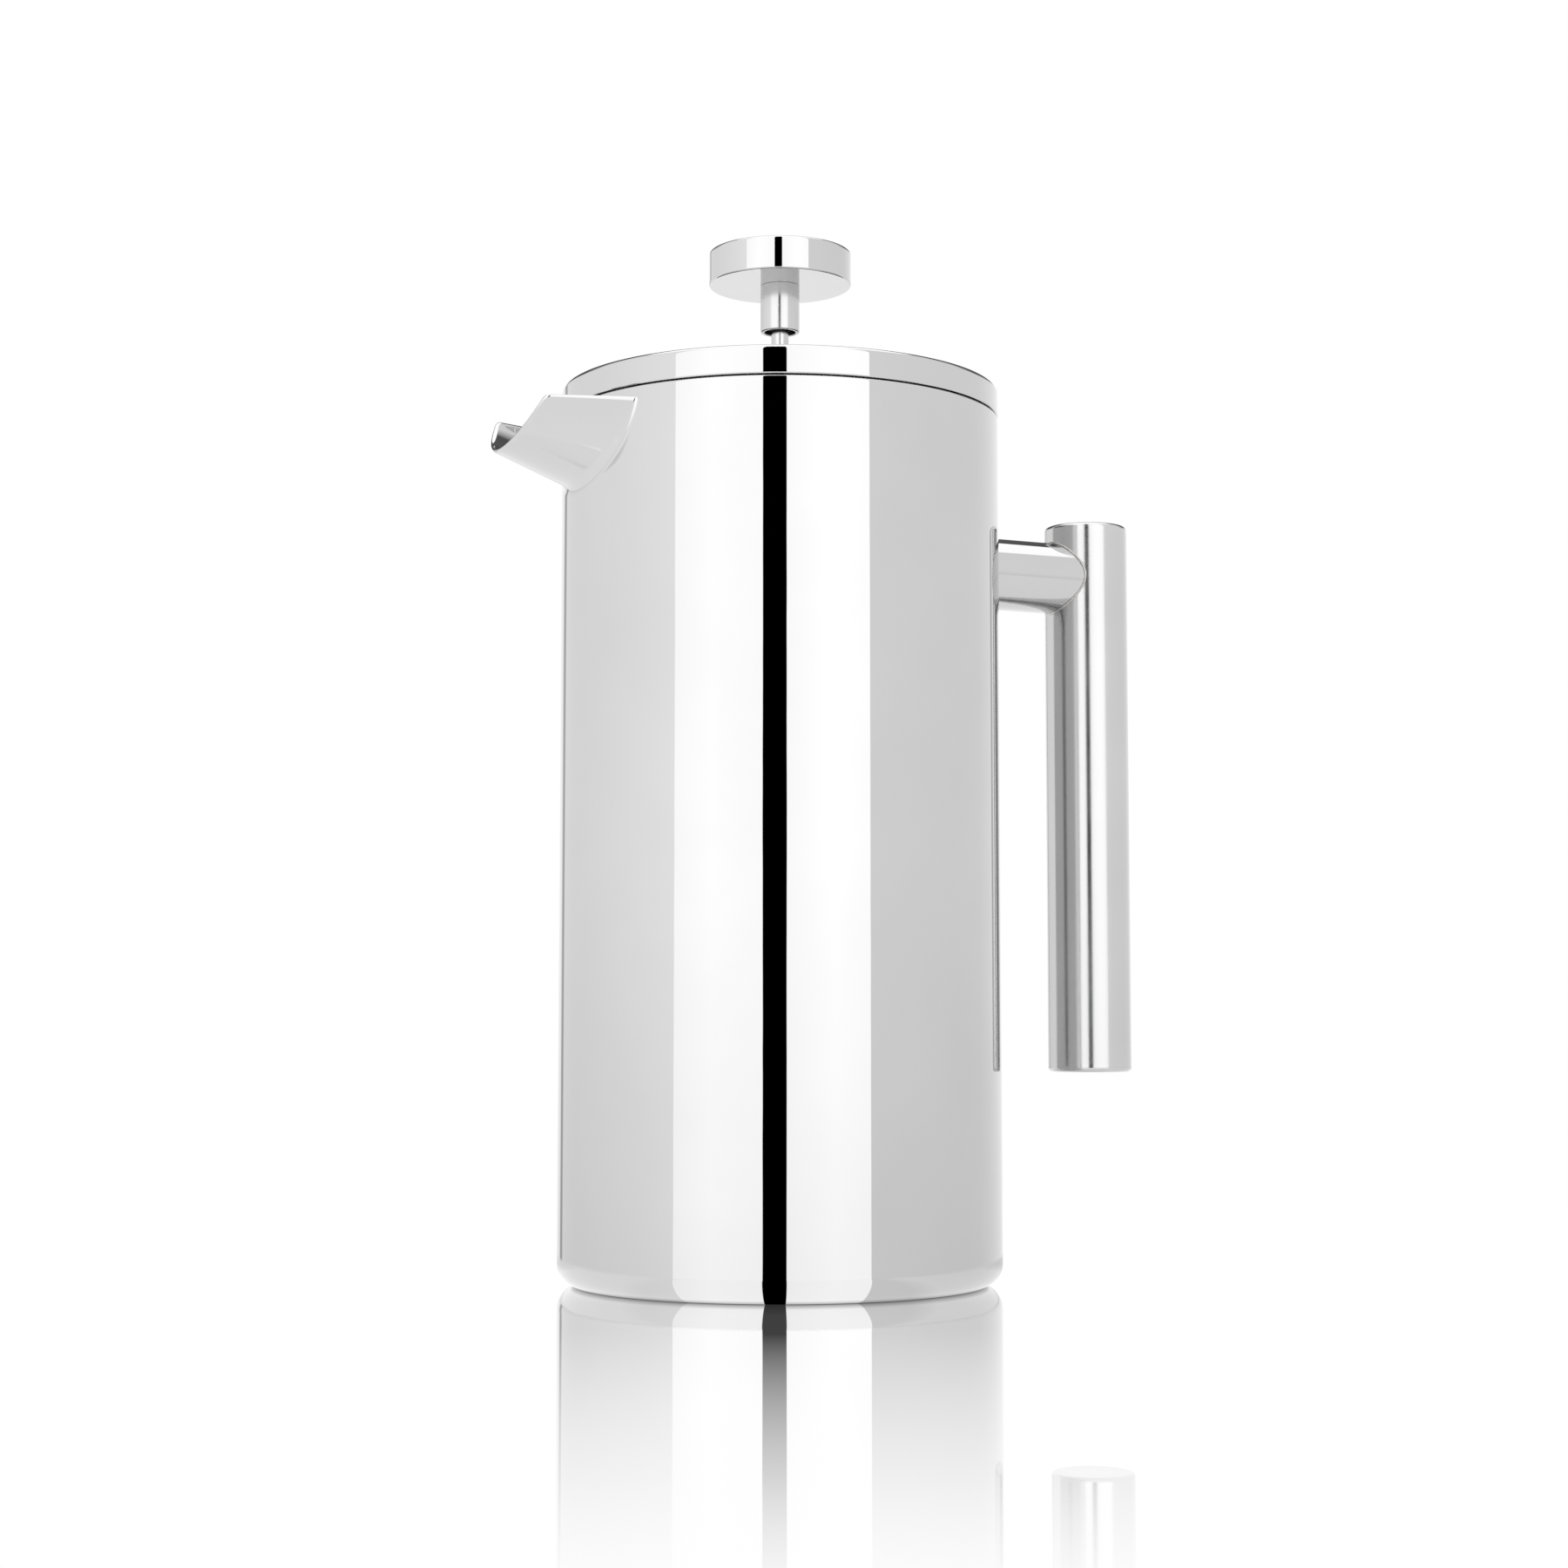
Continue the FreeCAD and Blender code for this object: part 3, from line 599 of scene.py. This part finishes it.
def make_grip():
    low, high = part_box("handle_bottom_cap")[0].z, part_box("handle_top_cap")[1].z
    seam_low, seam_high = GRIP_LOW.z, GRIP_HIGH.z
    inner = GRIP_RADIUS - TUBE_WALL
    where = (GRIP_REACH, 0)
    outline = rounded([
        (inner, seam_low, 0), (GRIP_RADIUS, seam_low, 0),
        (GRIP_RADIUS, seam_high, 0), (inner, seam_high, 0),
    ])
    place(lathe("grip", outline, centre=where), "handle_grip", "drawn")
    cap_round = 1.0 * MM
    spigot = 3 * MM
    for node, end, seam in (("handle_top_cap", high, seam_high), ("handle_bottom_cap", low, seam_low)):
        into = spigot if seam > end else -spigot
        outline = rounded([
            (0, end, 0), (GRIP_RADIUS, end, cap_round), (GRIP_RADIUS, seam, 0),
            (inner, seam, 0), (inner, seam + into, 0), (0, seam + into, 0),
        ])
        place(lathe(node, outline, centre=where), node, "drawn")


def seam_on_grip(angle, radius):
    """A point of the line where a level tube of that radius meets the grip."""
    y = radius * cos(angle)
    return Vector((GRIP_REACH - sqrt(GRIP_RADIUS ** 2 - y * y), y, ARM_HEIGHT + radius * sin(angle)))


def seam_on_shell(angle, radius):
    y = radius * cos(angle)
    return Vector((sqrt(BODY_RADIUS ** 2 - y * y), y, ARM_HEIGHT + radius * sin(angle)))


def make_arm():
    bm = bmesh.new()
    lengthwise = (0, 0.02, 0.25, 0.5, 0.75, 0.98, 1)
    inner = ARM_RADIUS - TUBE_WALL
    rows = []
    for radius, shares in ((ARM_RADIUS, lengthwise), (inner, lengthwise[::-1])):
        for share in shares:
            row = []
            for step in range(SMALL_SEGMENTS):
                angle = tau * step / SMALL_SEGMENTS
                start = seam_on_shell(angle, radius)
                row.append(bm.verts.new(start.lerp(seam_on_grip(angle, radius), share)))
            rows.append(row)
    skin(bm, rows, wrap=True)
    place(finished(bm, "arm"), "handle_arm", "mirror")


def make_bead(node, seam, direction, size, unevenness, finish):
    """A weld bead in the corner between two tubes, uneven along its length."""
    bm = bmesh.new()
    steps = 360
    sides = 12
    path = []
    radii = []
    for step in range(steps):
        angle = tau * step / steps
        point = seam(angle, ARM_RADIUS)
        spot = Vector((cos(angle), sin(angle), direction)) * 6
        wobble = noise.noise(spot) * 0.7 + noise.noise(spot * 4.1) * 0.5
        out = Vector((0, cos(angle), sin(angle)))
        path.append(point + out * size * 0.2 + Vector((-direction * size * 0.2, 0, 0)))
        radii.append(size * (0.75 + unevenness * wobble))
    tube(bm, path, radii, sides, closed=True)
    place(finished(bm, node), node, finish)


# ---- lid ----

def make_lid():
    bush_bore = 4.25 * MM
    sheet = 1.0 * MM
    radius = LID_HIGH.y
    outline = rounded([
        (bush_bore, LID_HIGH.z, 0), (radius, LID_HIGH.z, 1.0 * MM), (radius, LID_LOW.z, 0.35 * MM),
        (radius - sheet, LID_LOW.z, 0.15 * MM), (radius - sheet, LID_HIGH.z - sheet, 0.5 * MM),
        (bush_bore, LID_HIGH.z - sheet, 0),
    ])
    place(lathe("lid_cover", outline, segments=BODY_SEGMENTS), "lid_cover", "mirror")
    for material_slot in frame["nodes"]["lid_liner"].material_slots:
        material_slot.material = MATERIALS["satin"]


def make_guide():
    low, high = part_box("guide_bush")
    seat = LID_HIGH.z + 0.1 * MM
    flange = 2.0 * MM
    flange_radius = 6.6 * MM
    neck_radius = 4.5 * MM
    barrel_radius = 4.2 * MM
    outline = rounded([
        (ROD_BORE, low.z, 0.2 * MM), (barrel_radius, low.z, 0.3 * MM), (barrel_radius, seat, 0),
        (flange_radius, seat, 0.2 * MM), (flange_radius, seat + flange, 0.6 * MM),
        (neck_radius, seat + flange, 0.4 * MM), (neck_radius, high.z, 0.4 * MM),
        (ROD_BORE, high.z, 0.3 * MM),
    ])
    place(lathe("guide_bush", outline), "guide_bush", "turned")
    make_nut("guide_nut", barrel_radius)


def make_nut(node, bore):
    """A hexagon with chamfered corners and a bore; a radius of None follows the flats."""
    low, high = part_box(node)
    corner = high.x
    flat = corner * cos(pi / 6)
    chamfer = 0.5 * MM
    per_side = 12
    bm = bmesh.new()
    rows = []
    outline = (
        (bore, low.z), (flat - chamfer, low.z), (None, low.z + chamfer * 0.6),
        (None, high.z - chamfer * 0.6), (flat - chamfer, high.z), (bore, high.z),
    )
    for radius, z in outline:
        row = []
        for step in range(6 * per_side):
            angle = tau * step / (6 * per_side)
            off_middle = (angle % (pi / 3)) - pi / 6
            reach = flat / cos(off_middle) if radius is None else radius
            row.append(bm.verts.new((reach * cos(angle), reach * sin(angle), z)))
        rows.append(row)
    skin(bm, rows, wrap=True)
    place(finished(bm, node), node, "turned")


# ---- plunger ----

def make_rod():
    low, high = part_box("plunger_rod")
    radius = high.x
    outline = rounded([
        (0, low.z, 0), (radius, low.z, 0.5 * MM), (radius, high.z, 0.5 * MM), (0, high.z, 0),
    ])
    place(lathe("plunger_rod", outline, segments=64), "plunger_rod", "drawn")
    low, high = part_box("rod_collar")
    outline = rounded([
        (radius, low.z, 0.2 * MM), (high.x, low.z, 0.3 * MM),
        (high.x, high.z, 0.8 * MM), (radius, high.z, 0.2 * MM),
    ])
    place(lathe("rod_collar", outline), "rod_collar", "turned")


def perforated(name, radius, low, high, rings):
    """A flat disc with circles of round holes; rings are (pitch radius, hole radius, count)."""
    curve = bpy.data.curves.new(name, "CURVE")
    curve.dimensions = "2D"
    curve.fill_mode = "BOTH"
    circles = [(0, 0, radius)]
    for pitch, hole, count in rings:
        for step in range(count):
            angle = tau * step / count
            circles.append((pitch * cos(angle), pitch * sin(angle), hole))
    for x, y, size in circles:
        spline = curve.splines.new("POLY")
        count = 96 if size > 10 * MM else 28
        spline.points.add(count - 1)
        for step, point in enumerate(spline.points):
            angle = tau * step / count
            point.co = (x + size * cos(angle), y + size * sin(angle), 0, 1)
        spline.use_cyclic_u = True
    bevel = 0.1 * MM
    curve.extrude = (high - low) / 2 - bevel
    curve.bevel_depth = bevel
    curve.bevel_resolution = 0
    curve.offset = -bevel
    item = bpy.data.objects.new(name, curve)
    bpy.context.scene.collection.objects.link(item)
    depsgraph = bpy.context.evaluated_depsgraph_get()
    mesh = bpy.data.meshes.new_from_object(item.evaluated_get(depsgraph))
    bpy.data.objects.remove(item)
    for vertex in mesh.vertices:
        vertex.co.z += (low + high) / 2
    return mesh


def merged(name, *meshes):
    bm = bmesh.new()
    for mesh in meshes:
        bm.from_mesh(mesh)
    return finished(bm, name)


def make_plates():
    sheet = 0.8 * MM
    rim_overlap = 0.4 * MM
    low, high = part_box("cross_plate")
    disc = perforated(
        "cross_plate", high.y - rim_overlap, high.z - sheet, high.z,
        [(0, ROD_BORE, 1), (25 * MM, 6 * MM, 8)],
    )
    rim = lathe("cross_rim", rounded([
        (high.y - sheet, low.z, 0.2 * MM), (high.y, low.z, 0.2 * MM),
        (high.y, high.z, 0.7 * MM), (high.y - sheet, high.z, 0),
    ]))
    place(merged("cross_plate", disc, rim), "cross_plate", "turned")
    low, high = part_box("spiral_plate")
    disc = perforated(
        "spiral_plate", high.y - rim_overlap, low.z, low.z + sheet,
        [(0, ROD_BORE, 1), (30 * MM, 3 * MM, 16), (17 * MM, 3 * MM, 8)],
    )
    rim = lathe("spiral_rim", rounded([
        (high.y - sheet, low.z, 0), (high.y, low.z, 0.7 * MM),
        (high.y, high.z, 0.2 * MM), (high.y - sheet, high.z, 0.2 * MM),
    ]))
    place(merged("spiral_plate", disc, rim), "spiral_plate", "turned")


def woven(bm, radius, height, pitch, wire, sides):
    """Plain-weave wire cloth in a circle, both ways over and under."""
    count = int(radius / pitch)
    for way in (0, 1):
        for line in range(-count, count + 1):
            offset = line * pitch
            half = sqrt(max(radius ** 2 - offset ** 2, 0))
            crossings = int(half / pitch)
            if crossings < 1:
                continue
            path = []
            for step in range(-crossings, crossings + 1):
                lift = wire if (step + line + way) % 2 else -wire
                x, y = (step * pitch, offset) if way == 0 else (offset, step * pitch)
                path.append(Vector((x, y, height + lift)))
            tube(bm, path, wire * 0.95, sides)


def make_screens():
    sheet = 0.3 * MM
    fine = ("filter_screen", 1.0 * MM, 0.14 * MM)
    coarse = ("backing_screen", 2.2 * MM, 0.2 * MM)
    for node, pitch, wire in (fine, coarse):
        low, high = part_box(node)
        bm = bmesh.new()
        woven(bm, high.y - sheet, low.z + sheet / 2, pitch, wire, 4)
        cloth = finished(bm, node)
        top = max(high.z, low.z + sheet)
        hem = lathe(f"{node}_hem", rounded([
            (high.y - sheet, low.z, 0), (high.y, low.z, 0.1 * MM),
            (high.y, top, 0.1 * MM), (high.y - sheet, top, 0),
        ]), segments=BODY_SEGMENTS)
        place(merged(node, cloth, hem), node, "woven")


def make_spring():
    """The closely wound coil round the plate's edge."""
    low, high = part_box("edge_spring")
    coil = (high.z - low.z) / 2
    ring = high.y - coil
    wire = 0.35 * MM
    turns = 150
    per_turn = 12
    path = []
    for step in range(turns * per_turn):
        around = tau * step / (turns * per_turn)
        twist = tau * step / per_turn
        reach = ring + (coil - wire) * cos(twist)
        height = (low.z + high.z) / 2 + (coil - wire) * sin(twist)
        path.append(Vector((reach * cos(around), reach * sin(around), height)))
    bm = bmesh.new()
    tube(bm, path, wire, 6, closed=True)
    place(finished(bm, "edge_spring"), "edge_spring", "spring")


# ---- knob ----

def make_knob():
    low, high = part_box("knob_disc")
    outline = rounded([
        (0, low.z, 0), (high.x, low.z, 0.4 * MM), (high.x, high.z, 0.6 * MM), (0, high.z, 0),
    ])
    place(lathe("knob_disc", outline, segments=BODY_SEGMENTS), "knob_disc", "mirror")
    low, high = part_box("knob_neck")
    bore = 3.6 * MM
    outline = rounded([
        (bore, low.z, 0.15 * MM), (high.x, low.z, 0.3 * MM),
        (high.x, high.z, 0.08 * MM), (bore, high.z, 0),
    ])
    place(lathe("knob_neck", outline), "knob_neck", "drawn")
    low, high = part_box("knob_insert")
    outline = rounded([
        (ROD_BORE, low.z, 0.3 * MM), (high.x, low.z, 0.2 * MM),
        (high.x, high.z, 0), (ROD_BORE, high.z, 0),
    ])
    place(lathe("knob_insert", outline), "knob_insert", "satin")


# ---- studio ----

# the camera, fitted to the outlines in the photo
CAMERA_TURN = radians(25)
CAMERA_FRONT = Vector((-sin(CAMERA_TURN), -cos(CAMERA_TURN), 0))
CAMERA_RIGHT = Vector((cos(CAMERA_TURN), -sin(CAMERA_TURN), 0))
CAMERA_DISTANCE = 0.64025
CAMERA_HEIGHT = 0.0599
CAMERA_SIDE = 0.00092
CAMERA_PITCH = radians(4.705)
LENS = 64.79
# the directions that the steel reflects: brightness round the studio, by the angle in degrees
# to the right of the camera as the press sees it. Pale walls, and in front of them two tall
# soft boxes with a dark gap between
WALLS = [
    (-180, 1.07), (-157, 1.07), (-154.5, 0.48), (-151.5, 0.48), (-149, 1.02),
    (-115, 1.15), (-75, 1.26), (-55, 1.32),
    (47, 1.10), (85, 1.07), (125, 1.03), (150, 1.08), (180, 1.07),
]
SOFT_BOXES = [(-56, 1.68), (-35, 1.79), (-9, 1.74), (4, 1.72), (28, 1.83), (48, 1.76)]
BOXES_WITHIN = (-55.2, 46.8)
DARK_GAP = (-8.55, 3.55)
SHARPNESS = radians(0.15)  # half the width of the soft boxes' edges
# brightness of the table that fills the view further down
TABLE = [(-180, 1.16), (-60, 1.22), (0, 1.20), (50, 1.10), (120, 1.04), (180, 1.16)]
BRIGHTEST = 1.9           # no level above is higher
# by the height of a direction of length 1
CEILING = 1.75
CEILING_ABOVE = (sin(radians(53)), sin(radians(53)) + 0.02)
LOW_SHADE = 0.88          # the walls and soft boxes are a little dimmer near the floor
LOW_SHADE_HEIGHTS = (-0.12, 0.05)
DARK_BACK = 0.12          # the unlit upper part of the back wall
DARK_BACK_FROM = (radians(108), radians(130))
DARK_BACK_ABOVE = (0.27, 0.33)
TABLE_BELOW = (-0.115, -0.135)
# the table round the foot as the steel sees it: a glowing ring with a painted reflection of the studio on
# it; distances are from the press's axis
FOOT_GLOW_FADE = (0.096, 0.1056)
CONTACT_SHADE = 0.05      # painted contact shade on the glowing ring, where hardly any light reaches the table under the foot's rounding
BESIDE_FROM = (radians(36), radians(46))
BEHIND_FROM = (radians(95), radians(125))
BESIDE_SHADE = (0.97, 0.75)  # painted shade on the glowing ring beside the press and behind it
# and as the camera sees it
TABLE_RADIUS = 3.0
TABLE_TOP = -0.02 * MM    # just under the foot
MIRROR_STRENGTH = 0.95
MIRROR_FADE = (0.10, 0.36)
GLANCING = (0.70, 0.84)   # the mirror image shows only at a glancing angle
# painted shadow: the table's white glow is dimmed round the foot
FOOT_SHADOW = 0.5
FOOT_SHADOW_REACH = BODY_RADIUS * 1.35


def make_camera():
    data = bpy.data.cameras.new("camera")
    data.lens = LENS
    camera = bpy.data.objects.new("camera", data)
    bpy.context.scene.collection.objects.link(camera)
    camera.location = CAMERA_FRONT * CAMERA_DISTANCE + CAMERA_RIGHT * CAMERA_SIDE
    camera.location.z = CAMERA_HEIGHT
    camera.rotation_euler = (pi / 2 + CAMERA_PITCH, 0, -CAMERA_TURN)
    bpy.context.scene.camera = camera


def angle_round(nodes, vector):
    """The angle of a vector about the upright axis, to the right of the camera's side."""
    parts = []
    for axis in (CAMERA_RIGHT, CAMERA_FRONT):
        dot = nodes.add("ShaderNodeVectorMath", {0: vector, 1: axis}, operation="DOT_PRODUCT")
        parts.append(dot.outputs["Value"])
    return nodes.math("ARCTAN2", *parts)


def levels(nodes, angle, stops):
    """Brightness by angle, from a list of (degrees, level)."""
    ramp = nodes.add("ShaderNodeValToRGB", {"Fac": nodes.between(angle, 0.0, 1.0, -pi, pi)})
    elements = ramp.color_ramp.elements
    for _ in range(len(stops) - len(elements)):
        elements.new(1)
    for element, (turn, level) in zip(elements, stops):
        element.position = (turn + 180) / 360
        element.color = [level / BRIGHTEST] * 3 + [1]
    return nodes.math("MULTIPLY", ramp.outputs["Color"], BRIGHTEST)


def within(nodes, angle, low, high):
    """1 between two directions in degrees, with a sharp edge at both."""
    offset = nodes.math("ABSOLUTE", nodes.math("SUBTRACT", angle, radians((low + high) / 2)))
    half = radians((high - low) / 2)
    return nodes.between(offset, 1.0, 0.0, half - SHARPNESS, half + SHARPNESS)


def walls_and_boxes(nodes, angle):
    """Brightness of the studio round the press, by angle."""
    boxes = levels(nodes, angle, SOFT_BOXES)
    round_it = nodes.mixed(within(nodes, angle, *BOXES_WITHIN), levels(nodes, angle, WALLS), boxes)
    return nodes.mixed(within(nodes, angle, *DARK_GAP), round_it, 0.0)


def make_world():
    """Soft boxes by direction for what the steel reflects, plain white behind the press."""
    world = bpy.data.worlds.new("studio")
    bpy.context.scene.world = world
    world.use_nodes = True
    world.node_tree.nodes.clear()
    nodes = Nodes(world.node_tree)
    direction = nodes.add("ShaderNodeTexCoord").outputs["Generated"]
    height = nodes.add("ShaderNodeSeparateXYZ", {0: direction}).outputs["Z"]
    angle = angle_round(nodes, direction)
    walls = walls_and_boxes(nodes, angle)
    low_shade = nodes.between(height, LOW_SHADE, 1.0, *LOW_SHADE_HEIGHTS)
    walls = nodes.math("MULTIPLY", walls, low_shade)
    behind = nodes.between(nodes.math("ABSOLUTE", angle), 0.0, 1.0, *DARK_BACK_FROM)
    above = nodes.between(height, 0.0, 1.0, *DARK_BACK_ABOVE)
    unlit = nodes.between(nodes.math("MULTIPLY", behind, above), 1.0, DARK_BACK)
    walls = nodes.math("MULTIPLY", walls, unlit)
    overhead = nodes.between(height, 0.0, 1.0, *CEILING_ABOVE)
    level = nodes.mixed(overhead, walls, CEILING)
    down = nodes.between(height, 0.0, 1.0, *TABLE_BELOW)
    level = nodes.mixed(down, level, levels(nodes, angle, TABLE))
    seen = nodes.add("ShaderNodeLightPath").outputs["Is Camera Ray"]
    white = (1, 1, 1, 1)
    lit = nodes.add("ShaderNodeBackground", {"Strength": level, "Color": white}).outputs[0]
    plain = nodes.add("ShaderNodeBackground", {"Color": white}).outputs[0]
    mix = nodes.add("ShaderNodeMixShader", {0: seen, 1: lit, 2: plain}).outputs[0]
    nodes.add("ShaderNodeOutputWorld", {"Surface": mix})


def make_table_material():
    """Glowing white to the camera, with a painted shadow round the foot, and a mirror near the press at a
    glancing angle.

    To the steel it is a glowing ring round the foot with a painted reflection of the studio on it, darkened
    by painted shade at the contact, beside the press and behind it."""
    material = bpy.data.materials.new("white_table")
    material.use_nodes = True
    material.node_tree.nodes.clear()
    nodes = Nodes(material.node_tree)
    place = nodes.add("ShaderNodeTexCoord").outputs["Object"]
    distance = nodes.add("ShaderNodeVectorMath", {0: place}, operation="LENGTH").outputs["Value"]
    facing = nodes.add("ShaderNodeLayerWeight", {"Blend": 0.5}).outputs["Facing"]
    glancing = nodes.between(facing, 0.0, 1.0, *GLANCING)
    polish = nodes.between(distance, MIRROR_STRENGTH, 0.0, *MIRROR_FADE)
    polish = nodes.math("MULTIPLY", polish, glancing)
    # painted shadow round the foot in the table's white glow
    shade = nodes.between(distance, FOOT_SHADOW, 1.0, BODY_RADIUS - FOOT_ROUND, FOOT_SHADOW_REACH)
    white = nodes.add("ShaderNodeEmission", {"Strength": shade}).outputs[0]
    gloss = nodes.add("ShaderNodeBsdfGlossy", {"Roughness": 0.0, "Color": (1, 1, 1, 1)}).outputs[0]
    to_eye = nodes.add("ShaderNodeMixShader", {0: polish, 1: white, 2: gloss}).outputs[0]
    # the studio painted on the ring is spread wider with distance, as light reaching the foot from here
    # would have left the studio at a wider angle
    twice = nodes.math("MULTIPLY", distance, 2.0)
    widening = nodes.math("DIVIDE", twice, nodes.math("SUBTRACT", twice, BODY_RADIUS))
    spot = angle_round(nodes, place)
    off_front = nodes.math("ABSOLUTE", spot)
    front = walls_and_boxes(nodes, nodes.math("MULTIPLY", spot, widening))
    front = nodes.math("MULTIPLY", front, LOW_SHADE)
    # painted shade on the ring beside and behind the press
    painted_shade_beside = nodes.between(off_front, *BESIDE_SHADE, *BEHIND_FROM)
    beside = nodes.math("MULTIPLY", levels(nodes, spot, TABLE), painted_shade_beside)
    level = nodes.mixed(nodes.between(off_front, 0.0, 1.0, *BESIDE_FROM), front, beside)
    lit_from = BODY_RADIUS - FOOT_ROUND / 2
    # painted contact shade under the foot's rounding
    painted_contact_shade = nodes.between(distance, CONTACT_SHADE, 1.0, BODY_RADIUS - FOOT_ROUND, lit_from)
    painted_studio_reflection = nodes.math("MULTIPLY", level, painted_contact_shade)
    # the ring glows with the painted reflection of the studio
    painted_reflection_glow = nodes.add("ShaderNodeEmission", {"Strength": painted_studio_reflection}).outputs[0]
    past = nodes.add("ShaderNodeBsdfTransparent").outputs[0]
    ended = nodes.between(distance, 0.0, 1.0, *FOOT_GLOW_FADE)
    to_steel = nodes.add("ShaderNodeMixShader", {0: ended, 1: painted_reflection_glow, 2: past}).outputs[0]
    seen = nodes.add("ShaderNodeLightPath").outputs["Is Camera Ray"]
    both = nodes.add("ShaderNodeMixShader", {0: seen, 1: to_steel, 2: to_eye}).outputs[0]
    nodes.add("ShaderNodeOutputMaterial", {"Surface": both})
    return material


def make_floor():
    bm = bmesh.new()
    bmesh.ops.create_circle(bm, cap_ends=True, segments=64, radius=TABLE_RADIUS)
    mesh = bpy.data.meshes.new("table")
    bm.to_mesh(mesh)
    bm.free()
    mesh.materials.append(make_table_material())
    floor = bpy.data.objects.new("table", mesh)
    bpy.context.scene.collection.objects.link(floor)
    floor.location.z = TABLE_TOP


bpy.context.scene.view_settings.view_transform = "Standard"
make_camera()
make_world()
make_floor()
make_shell()
make_liner()
make_base_cap()
make_throat()
make_spout()
make_grip()
make_arm()
make_bead("arm_weld_bead", seam_on_grip, 1, 0.35 * MM, 0.25, "weld")
make_bead("arm_root_weld", seam_on_shell, -1, 0.35 * MM, 0.1, "weld")
make_lid()
make_guide()
make_nut("filter_nut", ROD_BORE)
make_rod()
make_plates()
make_screens()
make_spring()
make_knob()


def corners(bounds):
    return [[float(x) for x in corner] for corner in bounds]
